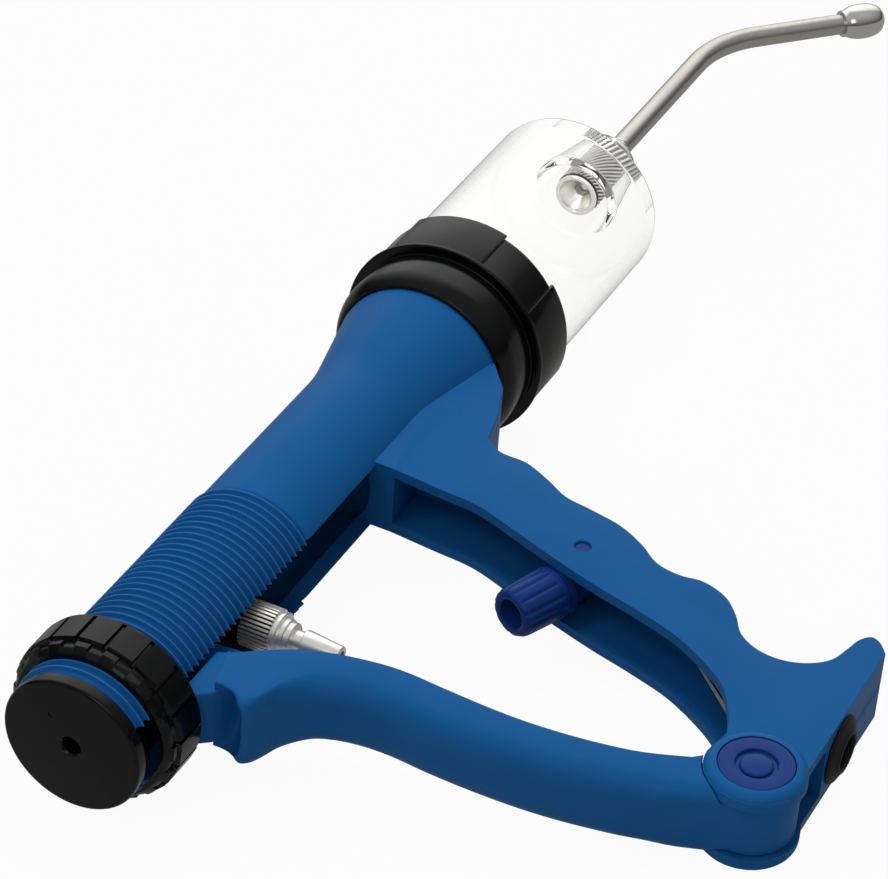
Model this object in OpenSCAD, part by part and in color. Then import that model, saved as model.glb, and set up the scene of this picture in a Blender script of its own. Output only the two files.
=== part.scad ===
// Livestock drencher: a squeeze-handle dosing gun, lying on its side.
// +X runs along the barrel to the nozzle, the handles point along -Y and +Z is up.
// The origin is the middle of the end cap's rear face, on the barrel's axis.

/* [Barrel] */
// Outside diameter of the smooth tube
tube_d = 30; // [29:0.5:32]
// Wall of the tube
tube_wall = 3; // [2.6:0.1:3.4]
// Length of the tube from its rear end to the flare
tube_l = 119; // [116:1:124]
// Length of the flare that widens to the neck
flare_l = 22; // [19:0.5:24]
// Length of the neck between the flare and the flange
neck_l = 3; // [2:0.5:5]
// Step from the neck up to the flange
neck_step = 1.1; // [0.6:0.1:1.6]
// Length of the flange that the collar nut screws onto
flange_l = 13; // [11:0.5:14]
// Step from the flange up to the cylinder's outside
flange_step = 1; // [0.8:0.1:1.4]
// Width of the slot along the underside
slot_w = 15.4; // [14.6:0.2:17]
// Room between the hose nut and the slot's end at full stroke
slot_room = 1; // [0.6:0.1:2]
// Wall that closes the tube in front of the slot
bulkhead_t = 4; // [3:0.5:6]
// Length of the dose thread
thread_l = 68; // [60:1:80]
// Pitch of the dose thread
thread_pitch = 2.07; // [1.6:0.01:3]
// Height of the thread's crests above the smooth tube
crest_h = 0.55; // [0.4:0.05:1]
// Depth of the thread's roots below the smooth tube
root_h = 0.3; // [0.2:0.05:0.6]

/* [End cap and dose ring] */
// Diameter of the end cap
cap_d = 30.2; // [28:0.2:32]
// Thickness of the end cap's flange
cap_t = 3; // [2.4:0.1:4]
// Radius of the end cap's rounded rim
cap_rim = 0.8; // [0.4:0.1:2]
// Depth of the end cap's plug in the tube
cap_plug_l = 5; // [4:0.5:7]
// Diameter of the hole in the end cap
cap_hole_d = 4; // [3:0.2:5]
// Thread that shows between the end cap and the dose ring
ring_gap = 4; // [3:0.5:6]
// Length of the dose ring
ring_l = 11; // [8:0.5:12]
// Wall of the dose ring under its grip pads
ring_wall = 2.95; // [2.4:0.05:3.2]
// Length of the dose ring's castellated rear end
ring_step_l = 3; // [2:0.5:4]
// Drop from the grip pads to the castellated end
ring_step_h = 0.7; // [0.4:0.1:1]
// Number of grip pads
ring_pads = 18; // [12:1:24]
// Width of the grooves between the grip pads
ring_groove_w = 1.1; // [0.8:0.1:1.6]
// Depth of the grooves between the grip pads
ring_groove_h = 0.6; // [0.3:0.1:0.9]

/* [Front handle] */
// Drop of the handles' end face below the barrel's axis
handle_drop = 128.2; // [122:0.2:134]
// Width of the front handle
handle_w = 16.7; // [16.3:0.1:18]
// Wall of the front handle's side plates
plate_t = 2.3; // [2:0.1:2.5]
// Thickness of the wall across the handle's end
end_wall_t = 3; // [2.4:0.2:4]
// Depth of solid moulding between the tube and the handle's channel
crown_t = 2.5; // [2:0.25:4]

/* [Pivot] */
// Distance of the pivot in front of the lever's head
pivot_ahead = 18.4; // [17:0.2:20]
// Height of the pivot above the handle's end face
pivot_up = 8.9; // [8.4:0.1:9.8]
// Diameter of the handle's ears
ear_d = 20.4; // [20:0.2:21.6]
// Height of each ear above the handle's side
ear_h = 1.4; // [1.2:0.1:2]
// Diameter of the pivot pin
pin_d = 6.6; // [6:0.1:7]
// Diameter of the pivot caps
pivot_cap_d = 15.1; // [13:0.1:16]
// Thickness of the pivot caps
pivot_cap_t = 1.6; // [1.2:0.1:2]

/* [Lever] */
// Width of the lever's grip
lever_w = 16.7; // [15:0.1:18]
// Diameter of the lever's hub
hub_d = 18.4; // [17:0.2:19]
// Room on each side of the spring in the hub
hub_room = 0.45; // [0.3:0.05:0.6]
// Room on each side of the lever's tongue in the slot
tongue_room = 1.2; // [0.8:0.1:1.6]
// Depth of the tongue inside the slot
tongue_in = 1.5; // [0.8:0.1:2]
// Diameter of the tongue's round head
head_d = 8; // [7:0.2:8.4]
// Width of the head and of the neck under it
head_w = 5; // [4:0.5:8]
// Thickness of the neck under the head
head_neck_t = 5.2; // [4.6:0.2:5.6]
// Distance of the head in front of the tongue's rear face
head_ahead = 16.7; // [16:0.1:18]
// Drop of the head below the barrel's axis
head_drop = 5; // [4:0.2:6]
// Width of the channel in the lever's front face
lever_channel_w = 9; // [7:0.5:10]
// Wall behind that channel
lever_wall = 3.2; // [2.6:0.2:4]

/* [Piston and rod] */
// Travel of the piston
stroke = 44; // [40:0.5:44]
// Diameter of the piston rod
rod_d = 10; // [9:0.2:11]
// Diameter of the rod's liquid bore
rod_bore_d = 4; // [3:0.2:4.4]
// Depth of the rod in the drive block
rod_in_block = 13; // [12:0.5:14]
// Depth of the rod in the piston
rod_in_piston = 2.5; // [2:0.1:3]
// Room in front of the piston at the end of its stroke
end_room = 5.19; // [2:0.01:6]
// Thickness of the cage in front of the inlet valve
cage_t = 2; // [1.6:0.1:2.6]
// Lift of the inlet ball
inlet_lift = 1.2; // [0.8:0.1:1.6]
// Width of the piston's seals
seal_w = 3; // [2:0.2:3.4]
// Depth of the piston's seal grooves
seal_h = 2.4; // [1.8:0.1:3]
// Length of the drive block behind the lever's head
block_tail_l = 8; // [7.4:0.2:9]
// Length of the drive block in front of the hose fitting
block_nose_l = 8; // [7:0.5:10]
// Depth of the flat under the drive block
flat_h = 2.2; // [1.6:0.1:2.6]
// Room between the drive block and the bulkhead at full stroke
block_room = 2; // [1:0.25:4]
// Length of the rod's guide bush
guide_l = 14; // [10:0.5:18]

/* [Cylinder and collar nut] */
// Bore of the clear cylinder
cyl_bore_d = 38.4; // [37:0.2:40]
// Wall of the clear cylinder
cyl_wall = 2.4; // [2:0.1:3]
// Thickness of the cylinder's front wall
cyl_end_t = 2; // [1.6:0.1:4]
// Radius of the cylinder's rounded front edge
cyl_edge = 0.8; // [0.4:0.1:1.6]
// Height of the cylinder's rear flange
cyl_flange_h = 0.7; // [0.5:0.1:1]
// Length of the cylinder's rear flange
cyl_flange_l = 5; // [3.5:0.25:6]
// Thickness of the cylinder's seal
cyl_seal_t = 1; // [0.6:0.1:1.6]
// Room between the outlet valve and the boss at the boss's root
boss_room = 3.6; // [2:0.1:4.5]
// Room between the outlet valve and the boss at the boss's end wall
boss_end_room = 0.4; // [0.3:0.1:1]
// Length of the outlet boss in front of the cylinder
boss_l = 19.5; // [18.5:0.5:26]
// Wall of the outlet boss
boss_wall = 1.5; // [1.2:0.1:2]
// Thickness of the outlet boss's end wall
boss_end_t = 3; // [2.5:0.25:4]
// Wall of the collar nut under its grip pads
collar_pad_t = 1.85; // [1.6:0.05:2.6]
// Depth of the recesses between the collar's pads
collar_recess_h = 0.9; // [0.5:0.1:1]
// Number of grip pads on the collar nut
collar_pads = 4; // [3:1:6]
// Wall of the collar nut's smooth rear band
collar_wall = 1.55; // [1.3:0.05:1.8]
// Length of the collar nut behind the flange's front face
collar_back_l = 14.8; // [14:0.2:16]
// Length of the collar nut's front lip
collar_lip_l = 5.2; // [4:0.2:7]

/* [Hose fittings] */
// Distance of the hose fitting in front of the lever's head
fitting_ahead = 15; // [14.5:0.1:16]
// Wall of the knurled hose nut
hose_nut_wall = 1.25; // [1.1:0.05:1.5]
// Thickness of the hose nut in front of the hose tail's collar
hose_nut_t = 2.5; // [2:0.1:3]
// Length of each step of the hose nut's nose
hose_step_l = 1.3; // [0.8:0.1:1.6]
// Height of each step of the hose nut's nose
hose_step_h = 0.4; // [0.3:0.05:0.5]
// Thickness of the hose tail's collar
tail_collar_t = 1.4; // [1:0.1:2]
// Diameter of the threaded spigot that the hose nut screws onto
spigot_d = 7.4; // [7:0.1:7.6]
// Length of that spigot
spigot_l = 5.5; // [4.5:0.25:6]
// Diameter of the hose tail's barb
barb_d = 5.8; // [5.4:0.1:5.9]
// Length of the hose tail's barb
barb_l = 8.3; // [6:0.1:10]
// Diameter of the neck behind the barb
tail_neck_d = 4.4; // [3.8:0.1:4.8]
// Length of the neck behind the barb
tail_neck_l = 2.2; // [1.5:0.1:4]
// Bore of the hose tail
tail_bore_d = 2.6; // [2:0.1:3]
// Direction of the gland from +X
gland_angle = 159; // [145:1:165]
// Diameter of the gland's swivel pins
gland_pin_d = 3.1; // [2.6:0.1:3.6]
// Step from the gland's flange down to its thread
gland_step = 1.45; // [1.2:0.05:1.7]
// Wall of the gland under its thread
gland_wall = 1.05; // [0.9:0.05:1.3]
// Taper of the gland nut from its flange to its mouth
gland_taper = 0.4; // [0.2:0.05:0.6]
// Length of the gland nut
gland_nut_l = 12; // [9:0.25:13]
// Distance from the swivel to the gland's flange
gland_flange_at = 6; // [5:0.1:6.5]
// Step from the grommet's inner flange down to its neck
grommet_step = 0.6; // [0.4:0.05:0.8]
// Wall of the grommet's neck
grommet_wall = 1.8; // [1.5:0.1:2.2]
// Width of the grommet's outer lip
grommet_lip = 1.8; // [1.5:0.1:2.4]
// Height of the grommet outside the handle
grommet_h = 2; // [1.4:0.1:3]

/* [Outlet and nozzle] */
// Diameter of the outlet valve's knurled body
valve_d = 11; // [10:0.2:12]
// Setback of the outlet valve from the cylinder's inner end
valve_setback = 2.6; // [2:0.1:3.5]
// Wall of the outlet valve's threaded spigot
valve_spigot_wall = 0.75; // [0.6:0.05:1]
// Length of that spigot in front of the boss
valve_spigot_l = 3.5; // [3.25:0.25:8]
// Hole through which liquid enters the outlet valve
valve_inlet_d = 4; // [3.2:0.1:4.2]
// Diameter of both valves' balls
ball_d = 5.2; // [5:0.1:5.4]
// Room around a ball in its chamber
ball_room = 0.6; // [0.5:0.05:0.8]
// Least wall of the nozzle nut
nozzle_nut_wall = 1.1; // [0.9:0.1:2]
// Height of the nozzle nut
nut_h = 3.25; // [2.5:0.25:3.5]
// Outside diameter of the nozzle tube
nozzle_d = 5.2; // [5:0.1:5.4]
// Wall of the nozzle tube
nozzle_wall = 0.8; // [0.5:0.05:1]
// Straight length of nozzle in front of the cylinder's boss
nozzle_l = 53.5; // [45:0.1:70]
// Radius of the nozzle's bend
nozzle_bend_r = 30; // [10:0.5:40]
// Angle of the nozzle's bend
nozzle_bend = 42; // [21:3:60]
// Straight length of nozzle after the bend
nozzle_end_l = 30; // [25:0.5:45]
// Diameter of the olive tip
tip_d = 9; // [8:0.1:11]
// Length of the olive tip
tip_l = 11.2; // [10:0.2:16]

/* [Springs] */
// Wire of the lever's spring
coil_wire_d = 1.2; // [1:0.05:1.25]
// Mean radius of the lever's spring
coil_r = 4.9; // [4.6:0.1:5.6]
// Gap between the curls of the lever's spring
coil_gap = 0.45; // [0.42:0.01:0.5]
// Wire of the valve springs
valve_wire_d = 0.6; // [0.5:0.05:0.7]
// Mean radius of the valve springs
valve_coil_r = 1.9; // [1.7:0.05:2.1]

/* [Fits] */
// Radial clearance of a running fit
run_gap = 0.06; // [0.03:0.01:0.1]
// Radial clearance of a fixed fit
fixed_gap = 0.05; // [0.02:0.01:0.1]
// Radial clearance of a sliding seal
seal_gap = 0.1; // [0.05:0.01:0.15]
// Clearance between pieces that move past each other
slide_gap = 0.3; // [0.2:0.05:0.4]
// Clearance of the lever's head in the drive block
head_gap = 0.35; // [0.3:0.05:0.5]

/* [Hidden] */
$fn = 72;
overrun = 1;

// Colours
blue = [0.13, 0.36, 0.60];
dark_blue = [0.11, 0.20, 0.43];
black = [0.09, 0.10, 0.10];
clear = [0.93, 0.94, 0.92, 0.4];
steel = [0.75, 0.74, 0.72];
rubber = [0.12, 0.12, 0.12];
white = [0.88, 0.88, 0.85];

// Radii and places along the barrel
tube_r = tube_d / 2;
bore_r = tube_r - tube_wall;
crest_r = tube_r + crest_h;
root_r = tube_r - root_h;
cyl_bore_r = cyl_bore_d / 2;
cyl_r = cyl_bore_r + cyl_wall;
flange_r = cyl_r - flange_step;
neck_r = flange_r - neck_step;
flare_x = cap_t + tube_l;
neck_x = flare_x + flare_l;
flange_x = neck_x + neck_l;
front_x = flange_x + flange_l;
thread_turns = floor(thread_l / thread_pitch);
thread_shares = [[0.5, 0], [0.78, 1], [0.94, 1], [1.22, 0]];
ring_x = cap_t + ring_gap;
ring_front_x = ring_x + ring_l;
ring_bore_r = crest_r + slide_gap;
ring_r = ring_bore_r + ring_wall;
ring_block_share = 0.8;
ring_turn_share = 0.75;
lever_x = ring_front_x + slide_gap;
head_x = lever_x + head_ahead;
pivot_x = head_x + pivot_ahead;
fitting_x = head_x + fitting_ahead;

// Drive block, hose fitting and the slot that they run in
block_r = bore_r - slide_gap;
block_flat = block_r - flat_h;
block_x = head_x - block_tail_l;
block_front_x = fitting_x + block_nose_l;
bulkhead_x = block_front_x + stroke + block_room;
spigot_r = spigot_d / 2;
spigot_end = block_flat + spigot_l;
tail_seat = spigot_end + tail_collar_t;
tail_collar_r = spigot_r - fixed_gap;
tail_stem_r = barb_d / 2;
nut_start = block_flat + hose_step_l;
nut_end = tail_seat + hose_nut_t;
nose_end = nut_end + 2 * hose_step_l;
hose_nut_r = spigot_r + fixed_gap + hose_nut_wall;
slot_end = fitting_x + stroke + hose_nut_r + slot_room;

// Front handle
pivot_drop = handle_drop - pivot_up;
channel_w = handle_w - 2 * plate_t;
ear_r = ear_d / 2;
ear_w = handle_w + 2 * ear_h;
crown_drop = tube_r + crown_t;
curve_steps = 4;
// Share of the handle's drop that the tube's underside lies at
grip_tube_share = 0.117;
// Finger side, from the barrel to the end face, as shares of the slot's end and the handle's drop
grip_front_shares = [
    [1.2, 0.229], [1.17, 0.262], [1.165, 0.312], [1.135, 0.363], [1.104, 0.406], [1.093, 0.452],
    [1.076, 0.512], [1.043, 0.562], [1.003, 0.604], [0.992, 0.647], [0.998, 0.686], [0.978, 0.729],
    [0.936, 0.762], [0.886, 0.789], [0.859, 0.825], [0.855, 0.866], [0.872, 0.903], [0.906, 0.932],
    [0.955, 0.945], [0.99, 0.952], [1.013, 0.966], [1.006, 0.983], [0.98, 1]
];
// Open side, from the barrel to the ears
grip_rear_shares = [
    [1, 0.131], [0.99, 0.215], [0.98, 0.296], [0.942, 0.382], [0.902, 0.47], [0.87, 0.551],
    [0.843, 0.63], [0.807, 0.712], [0.735, 0.801], [0.663, 0.842], [0.6, 0.861]
];
// Front wall of the channel inside the handle
channel_shares = [
    [1.12, 0.2], [1.125, 0.28], [1.06, 0.4], [1.045, 0.5], [0.975, 0.59], [0.935, 0.665],
    [0.89, 0.735], [0.83, 0.79], [0.818, 0.84], [0.825, 0.905], [0.835, 1]
];
end_wall_rear_share = 0.68;
// Gusset between the handle and the collar nut, as shares of its length and of the handle's drop
web_shares = [[0.36, 0.213], [0.72, 0.187], [1, 0.145]];

// Collar nut
collar_x = front_x - collar_back_l;
cyl_x = front_x + cyl_seal_t;
collar_seat_x = cyl_x + cyl_flange_l + slide_gap;
collar_front_x = collar_seat_x + collar_lip_l;
collar_pad_share = 0.2;
collar_pad_x = front_x - collar_back_l * collar_pad_share;
cyl_flange_r = cyl_r + cyl_flange_h;
collar_inner_r = cyl_flange_r + fixed_gap;
collar_r = collar_inner_r + collar_pad_t;
collar_bore_r = flange_r + fixed_gap;
collar_band_r = collar_bore_r + collar_wall;
collar_recess_share = 0.4;
collar_recess_turn_share = 0.2;
collar_turn_share = 0.15;
web_front_x = collar_x - 2 * slide_gap;

// Piston and rod
piston_x = cyl_x + head_gap;
piston_r = cyl_bore_r - slide_gap;
rod_r = rod_d / 2;
rod_x = block_front_x - rod_in_block;
rod_end_x = piston_x + rod_in_piston;
ball_r = ball_d / 2;
ball_bore_r = ball_r + ball_room;
inlet_ball_x = rod_end_x + sqrt(pow(ball_r, 2) - pow(rod_bore_d / 2, 2)) + seal_gap;
inlet_spring_x = inlet_ball_x + ball_r + seal_gap;
inlet_spring_l = inlet_lift + 3 * valve_wire_d;
cage_x = inlet_spring_x + inlet_spring_l + seal_gap;
cage_r = ball_bore_r + cage_t / 2;
piston_front_x = cage_x + cage_t;
piston_l = piston_front_x - piston_x;
seal_shares = [0.17, 0.58];
head_r = head_d / 2;
groove_r = head_r + head_gap;

// Cylinder and outlet
cyl_end_x = piston_front_x + stroke + end_room;
cyl_front_x = cyl_end_x + cyl_end_t;
valve_r = valve_d / 2;
boss_bore_r = valve_r + boss_room;
boss_r = boss_bore_r + boss_wall;
boss_end_r = valve_r + boss_end_room;
boss_front_x = cyl_front_x + boss_l;
boss_end_x = boss_front_x - boss_end_t;
valve_x = cyl_end_x + valve_setback;
valve_front_x = boss_front_x + valve_spigot_l;
valve_washer_t = cyl_seal_t / 2;
valve_shoulder_x = boss_end_x - valve_washer_t;
nozzle_r = nozzle_d / 2;
nozzle_x = valve_shoulder_x - valve_washer_t;
valve_spigot_r = nozzle_r + fixed_gap + valve_spigot_wall;
outlet_seat_x = valve_x + valve_r;
outlet_ball_x = outlet_seat_x + sqrt(pow(ball_r, 2) - pow(valve_inlet_d / 2, 2)) + seal_gap;
outlet_spring_x = outlet_ball_x + ball_r + seal_gap;
outlet_spring_l = nozzle_x - seal_gap - outlet_spring_x;
bend_x = boss_front_x + nozzle_l;
bend_end_x = bend_x + nozzle_bend_r * sin(nozzle_bend);
bend_end_y = nozzle_bend_r * (cos(nozzle_bend) - 1);
nozzle_nut_r = (valve_spigot_r + nozzle_nut_wall) * 2 / sqrt(3);
tip_seat_share = 0.55;
knurl_count = 26;
knurl_h = valve_d / 28;

// Gland and grommet
gland_shares = [0.975, 0.4836];
gland_x = slot_end * gland_shares[0];
gland_drop = below_tube(handle_drop, gland_shares[1], grip_tube_share);
gland_flange_r = channel_w / 2 - head_gap;
gland_thread_r = gland_flange_r - gland_step;
gland_bore_r = gland_thread_r - gland_wall;
gland_tail_share = 1.45;
gland_tail_l = gland_pin_d * gland_tail_share;
gland_flange_t = gland_pin_d / 2;
gland_nut_at = gland_flange_at + gland_flange_t + fixed_gap;
gland_flutes = 12;
grommet_share = 0.76;
grommet_x = slot_end * grommet_share;
grommet_inner_r = channel_w / 2 - fixed_gap;
grommet_neck_r = grommet_inner_r - grommet_step;
grommet_bore_r = grommet_neck_r - grommet_wall;
grommet_r = grommet_neck_r + grommet_lip;

// Lever
lever_span = pivot_x - lever_x;
tongue_w = slot_w - 2 * tongue_room;
hub_r = hub_d / 2;
hub_w = channel_w - 2 * slide_gap;
pin_r = pin_d / 2;
tongue_drop = tube_r - tongue_in;
head_lean = atan2(pivot_x - head_x, pivot_drop - head_drop);
// Share of the pivot's drop that the tube's underside lies at
lever_tube_share = 0.1257;
// Rear of the lever from the hub to the saddle, as shares of the lever's span and of the pivot's drop
lever_rear_shares = [
    [0.615, 0.91], [0.515, 0.805], [0.455, 0.7], [0.435, 0.6], [0.44, 0.5], [0.46, 0.42],
    [0.435, 0.345], [0.36, 0.292], [0.23, 0.255], [0.09, 0.236], [0.03, 0.222], [0.05, 0.21],
    [0.09, 0.197], [0.11, 0.18], [0.115, 0.157]
];
// Front of the lever from the shoulder to the hub
lever_front_shares = [
    [0.375, 0.138], [0.56, 0.21], [0.66, 0.27], [0.725, 0.34], [0.748, 0.405], [0.736, 0.48],
    [0.72, 0.56], [0.72, 0.63], [0.74, 0.7], [0.775, 0.765], [0.83, 0.83], [0.93, 0.9]
];
// Tongue from its stop face at the dose ring round to its front, with its top as a share of the span
lever_tongue_shares = [[0, 0.134], [0.08, 0.162], [0.14, 0.225], [0.55, 0.225], [0.45, 0.15]];
tongue_top_share = 0.4;
// Depth of the neck's root in the lever, as a share of the pivot's drop
head_root_share = 0.16;
lever_channel_shares = [0.259, 0.86];
spring_bay_share = 0.81;

// Springs: the lever spring's legs end at shares of the lever and of the handle
lever_leg_shares = [[0.615, 0.735]];
handle_leg_shares = [[0.914, 0.674]];
coil_turns = 3;
coil_rings = 8;
wire_sides = 6;
coil_pitch = coil_wire_d + coil_gap;
lever_leg = on_lever(lever_leg_shares)[0] - [pivot_x, -pivot_drop];
handle_leg = on_grip(handle_leg_shares)[0] - [pivot_x, -pivot_drop];
lever_leg_l = leg_length(lever_leg);
handle_leg_l = leg_length(handle_leg);
coil_start = atan2(lever_leg[1], lever_leg[0]) + atan2(lever_leg_l, coil_r);
coil_end = atan2(handle_leg[1], handle_leg[0]) - atan2(handle_leg_l, coil_r) + 360 * coil_turns;
coil_rise = (coil_end - coil_start) / 360 * coil_pitch;
hub_gap_w = coil_rise + coil_wire_d + 2 * hub_room;
valve_pitch_share = 1.9;

// A smooth curve through points, with the given number of steps between each two
function blend(a, b, c, d, t) =
    (2 * b + (c - a) * t + (2 * a - 5 * b + 4 * c - d) * t * t + (3 * b - a - 3 * c + d) * t * t * t) / 2;
function curve(p, steps = curve_steps) = [
    for (i = [0 : len(p) - 2]) for (k = [0 : steps - 1])
        blend(p[max(i - 1, 0)], p[i], p[i + 1], p[min(i + 2, len(p) - 1)], k / steps),
    p[len(p) - 1]
];

function backwards(p) = [for (i = [len(p) - 1 : -1 : 0]) p[i]];

// Shares of the handle and of the lever turned into places
function below_tube(drop, share, tube_share) =
    tube_r + (drop - tube_r) * (share - tube_share) / (1 - tube_share);
function grip_y(share) = -below_tube(handle_drop, share, grip_tube_share);
function lever_y(share) = -below_tube(pivot_drop, share, lever_tube_share);
function on_grip(s) = [for (p = s) [slot_end * p[0], grip_y(p[1])]];
function on_lever(s) = [for (p = s) [lever_x + lever_span * p[0], lever_y(p[1])]];
function turned(p, a) = [p[0] * cos(a) - p[1] * sin(a), p[0] * sin(a) + p[1] * cos(a)];

// A quarter of a rounded edge, as points from one angle to another
function arc(centre, r, a0, a1, steps = 8) =
    [for (k = [0 : steps]) centre + r * [cos(a0 + (a1 - a0) * k / steps), sin(a0 + (a1 - a0) * k / steps)]];

// Turned shapes: profile points are [radius, distance along the axis]
module along_x() {
    rotate([0, 90, 0]) children();
}
module turned_x(profile) {
    along_x() rotate_extrude() polygon(profile);
}
module rod_x(r, x0, x1) {
    translate([x0, 0, 0]) along_x() cylinder(h = x1 - x0, r = r);
}
module down_y(r, y0, y1, r_end = -1) {
    translate([0, -y0, 0]) rotate([90, 0, 0]) cylinder(h = y1 - y0, r1 = r, r2 = r_end < 0 ? r : r_end);
}
module pin_z(r, w) {
    translate([0, 0, -w / 2]) cylinder(h = w, r = r);
}
module slab(points, w) {
    translate([0, 0, -w / 2]) linear_extrude(w) polygon(points);
}
module at_pivot() {
    translate([pivot_x, -pivot_drop, 0]) children();
}
module at_gland() {
    translate([gland_x, -gland_drop, 0]) rotate([0, 0, gland_angle]) children();
}

// Wire swept along a path: rings of a few sides, joined by triangles
function unit(v) = v / norm(v);
function heading(p, i) = unit(p[min(i + 1, len(p) - 1)] - p[max(i - 1, 0)]);
function wire_points(p, r, up) = [
    for (i = [0 : len(p) - 1])
        let (t = heading(p, i), side = unit(cross(t, up)), lift = cross(side, t))
        for (k = [0 : wire_sides - 1])
            p[i] + r * (cos(360 * k / wire_sides) * side + sin(360 * k / wire_sides) * lift)
];
function wire_faces(n) = [
    for (i = [0 : n - 2]) for (k = [0 : wire_sides - 1])
        let (a = i * wire_sides + k, b = i * wire_sides + (k + 1) % wire_sides)
        each [[a, b, b + wire_sides], [a, b + wire_sides, a + wire_sides]],
    for (k = [1 : wire_sides - 2]) [0, k + 1, k],
    for (k = [1 : wire_sides - 2]) let (e = (n - 1) * wire_sides) [e, e + k, e + k + 1]
];
module wire(p, r, up) {
    polyhedron(wire_points(p, r, up), wire_faces(len(p)));
}
// Least gap between stretches of one wire that are half a curl or more apart
function self_gap(p, d) = min([
    for (i = [0 : len(p) - 1]) for (j = [i + coil_rings / 2 : 1 : len(p) - 1]) norm(p[i] - p[j])
]) - d;

// Barrel, handle and ears in one moulding
module barrel_profile() {
    polygon([
        [0, cap_t], [root_r, cap_t],
        for (i = [0 : thread_turns - 1]) for (s = thread_shares)
            [root_r + s[1] * (crest_r - root_r), cap_t + (i + s[0]) * thread_pitch],
        [root_r, cap_t + (thread_turns + thread_shares[0][0]) * thread_pitch],
        [tube_r, cap_t + thread_l + root_h],
        [tube_r, flare_x], [neck_r, neck_x],
        [neck_r, flange_x], [flange_r, flange_x], [flange_r, front_x], [0, front_x]
    ]);
}
function handle_outline() = concat(
    [[slot_end * grip_rear_shares[0][0], -bore_r]],
    curve(on_grip(grip_rear_shares)),
    [[pivot_x, ear_r - pivot_drop]],
    [for (a = [100 : 20 : 240]) [pivot_x, -pivot_drop] + ear_r * [cos(a), sin(a)]],
    [[pivot_x, -handle_drop]],
    backwards(curve(on_grip(grip_front_shares))),
    [for (s = web_shares) [
        slot_end * grip_front_shares[0][0] + s[0] * (web_front_x - slot_end * grip_front_shares[0][0]),
        grip_y(s[1])
    ]],
    [[web_front_x, -bore_r]]
);
function channel_outline() = concat(
    [[pivot_x - ear_d, -crown_drop], [slot_end * channel_shares[0][0], -crown_drop]],
    [for (p = curve(on_grip(channel_shares))) if (p[1] < -crown_drop && p[1] > end_wall_t - handle_drop) p],
    [
        [slot_end * channel_shares[len(channel_shares) - 1][0], end_wall_t - handle_drop],
        [slot_end * end_wall_rear_share, end_wall_t - handle_drop],
        [slot_end * end_wall_rear_share, -handle_drop - ear_r], [pivot_x - ear_d, -handle_drop - ear_r]
    ]
);
module body() {
    color(blue) difference() {
        union() {
            along_x() rotate_extrude() barrel_profile();
            slab(handle_outline(), handle_w);
            at_pivot() pin_z(ear_r, ear_w);
        }
        rod_x(bore_r, cap_t - overrun, bulkhead_x);
        rod_x(bore_r, bulkhead_x + bulkhead_t, front_x + overrun);
        rod_x(rod_r + slide_gap, cap_t, front_x);
        translate([0, -crest_r - overrun, -slot_w / 2]) cube([slot_end, crest_r + overrun, slot_w]);
        slab(channel_outline(), channel_w);
        at_pivot() pin_z(pin_r + fixed_gap, ear_w + overrun);
        for (side = [0, 1]) mirror([0, 0, side]) at_pivot()
            translate([0, 0, ear_w / 2 - pivot_cap_t])
                cylinder(h = pivot_cap_t + overrun, r = pivot_cap_d / 2 + fixed_gap);
        at_gland() pin_z(gland_pin_d / 2 + run_gap, handle_w + overrun);
        translate([grommet_x, 0, 0])
            down_y(grommet_neck_r + fixed_gap, handle_drop - end_wall_t - overrun, handle_drop + overrun);
    }
}

// Rear end: cap that plugs the tube, and the ring that sets the dose
module end_cap() {
    color(black) difference() {
        turned_x(concat(
            [[0, 0]],
            arc([cap_d / 2 - cap_rim, cap_rim], cap_rim, -90, 0),
            [
                [cap_d / 2, cap_t], [bore_r - fixed_gap, cap_t],
                [bore_r - fixed_gap, cap_t + cap_plug_l], [0, cap_t + cap_plug_l]
            ]
        ));
        rod_x(cap_hole_d / 2, -overrun, cap_t + cap_plug_l + overrun);
    }
}
module dose_ring() {
    step_r = ring_r - ring_step_h;
    pad_a = 360 / ring_pads;
    block_end = ring_x + ring_step_l * ring_block_share;
    color(black) difference() {
        turned_x([
            [ring_bore_r, ring_x], [step_r, ring_x], [step_r, ring_x + ring_step_l],
            [ring_r, ring_x + ring_step_l], [ring_r, ring_front_x], [ring_bore_r, ring_front_x]
        ]);
        for (i = [0 : ring_pads - 1]) rotate([(i + ring_turn_share) * pad_a, 0, 0]) {
            translate([ring_x - overrun, ring_r - ring_groove_h, -ring_groove_w / 2])
                cube([ring_l + 2 * overrun, ring_r, ring_groove_w]);
            along_x() rotate_extrude(angle = pad_a / 2) polygon([
                [step_r - ring_groove_h, ring_x - overrun], [ring_r + overrun, ring_x - overrun],
                [ring_r + overrun, block_end], [step_r - ring_groove_h, block_end]
            ]);
        }
    }
}

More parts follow.
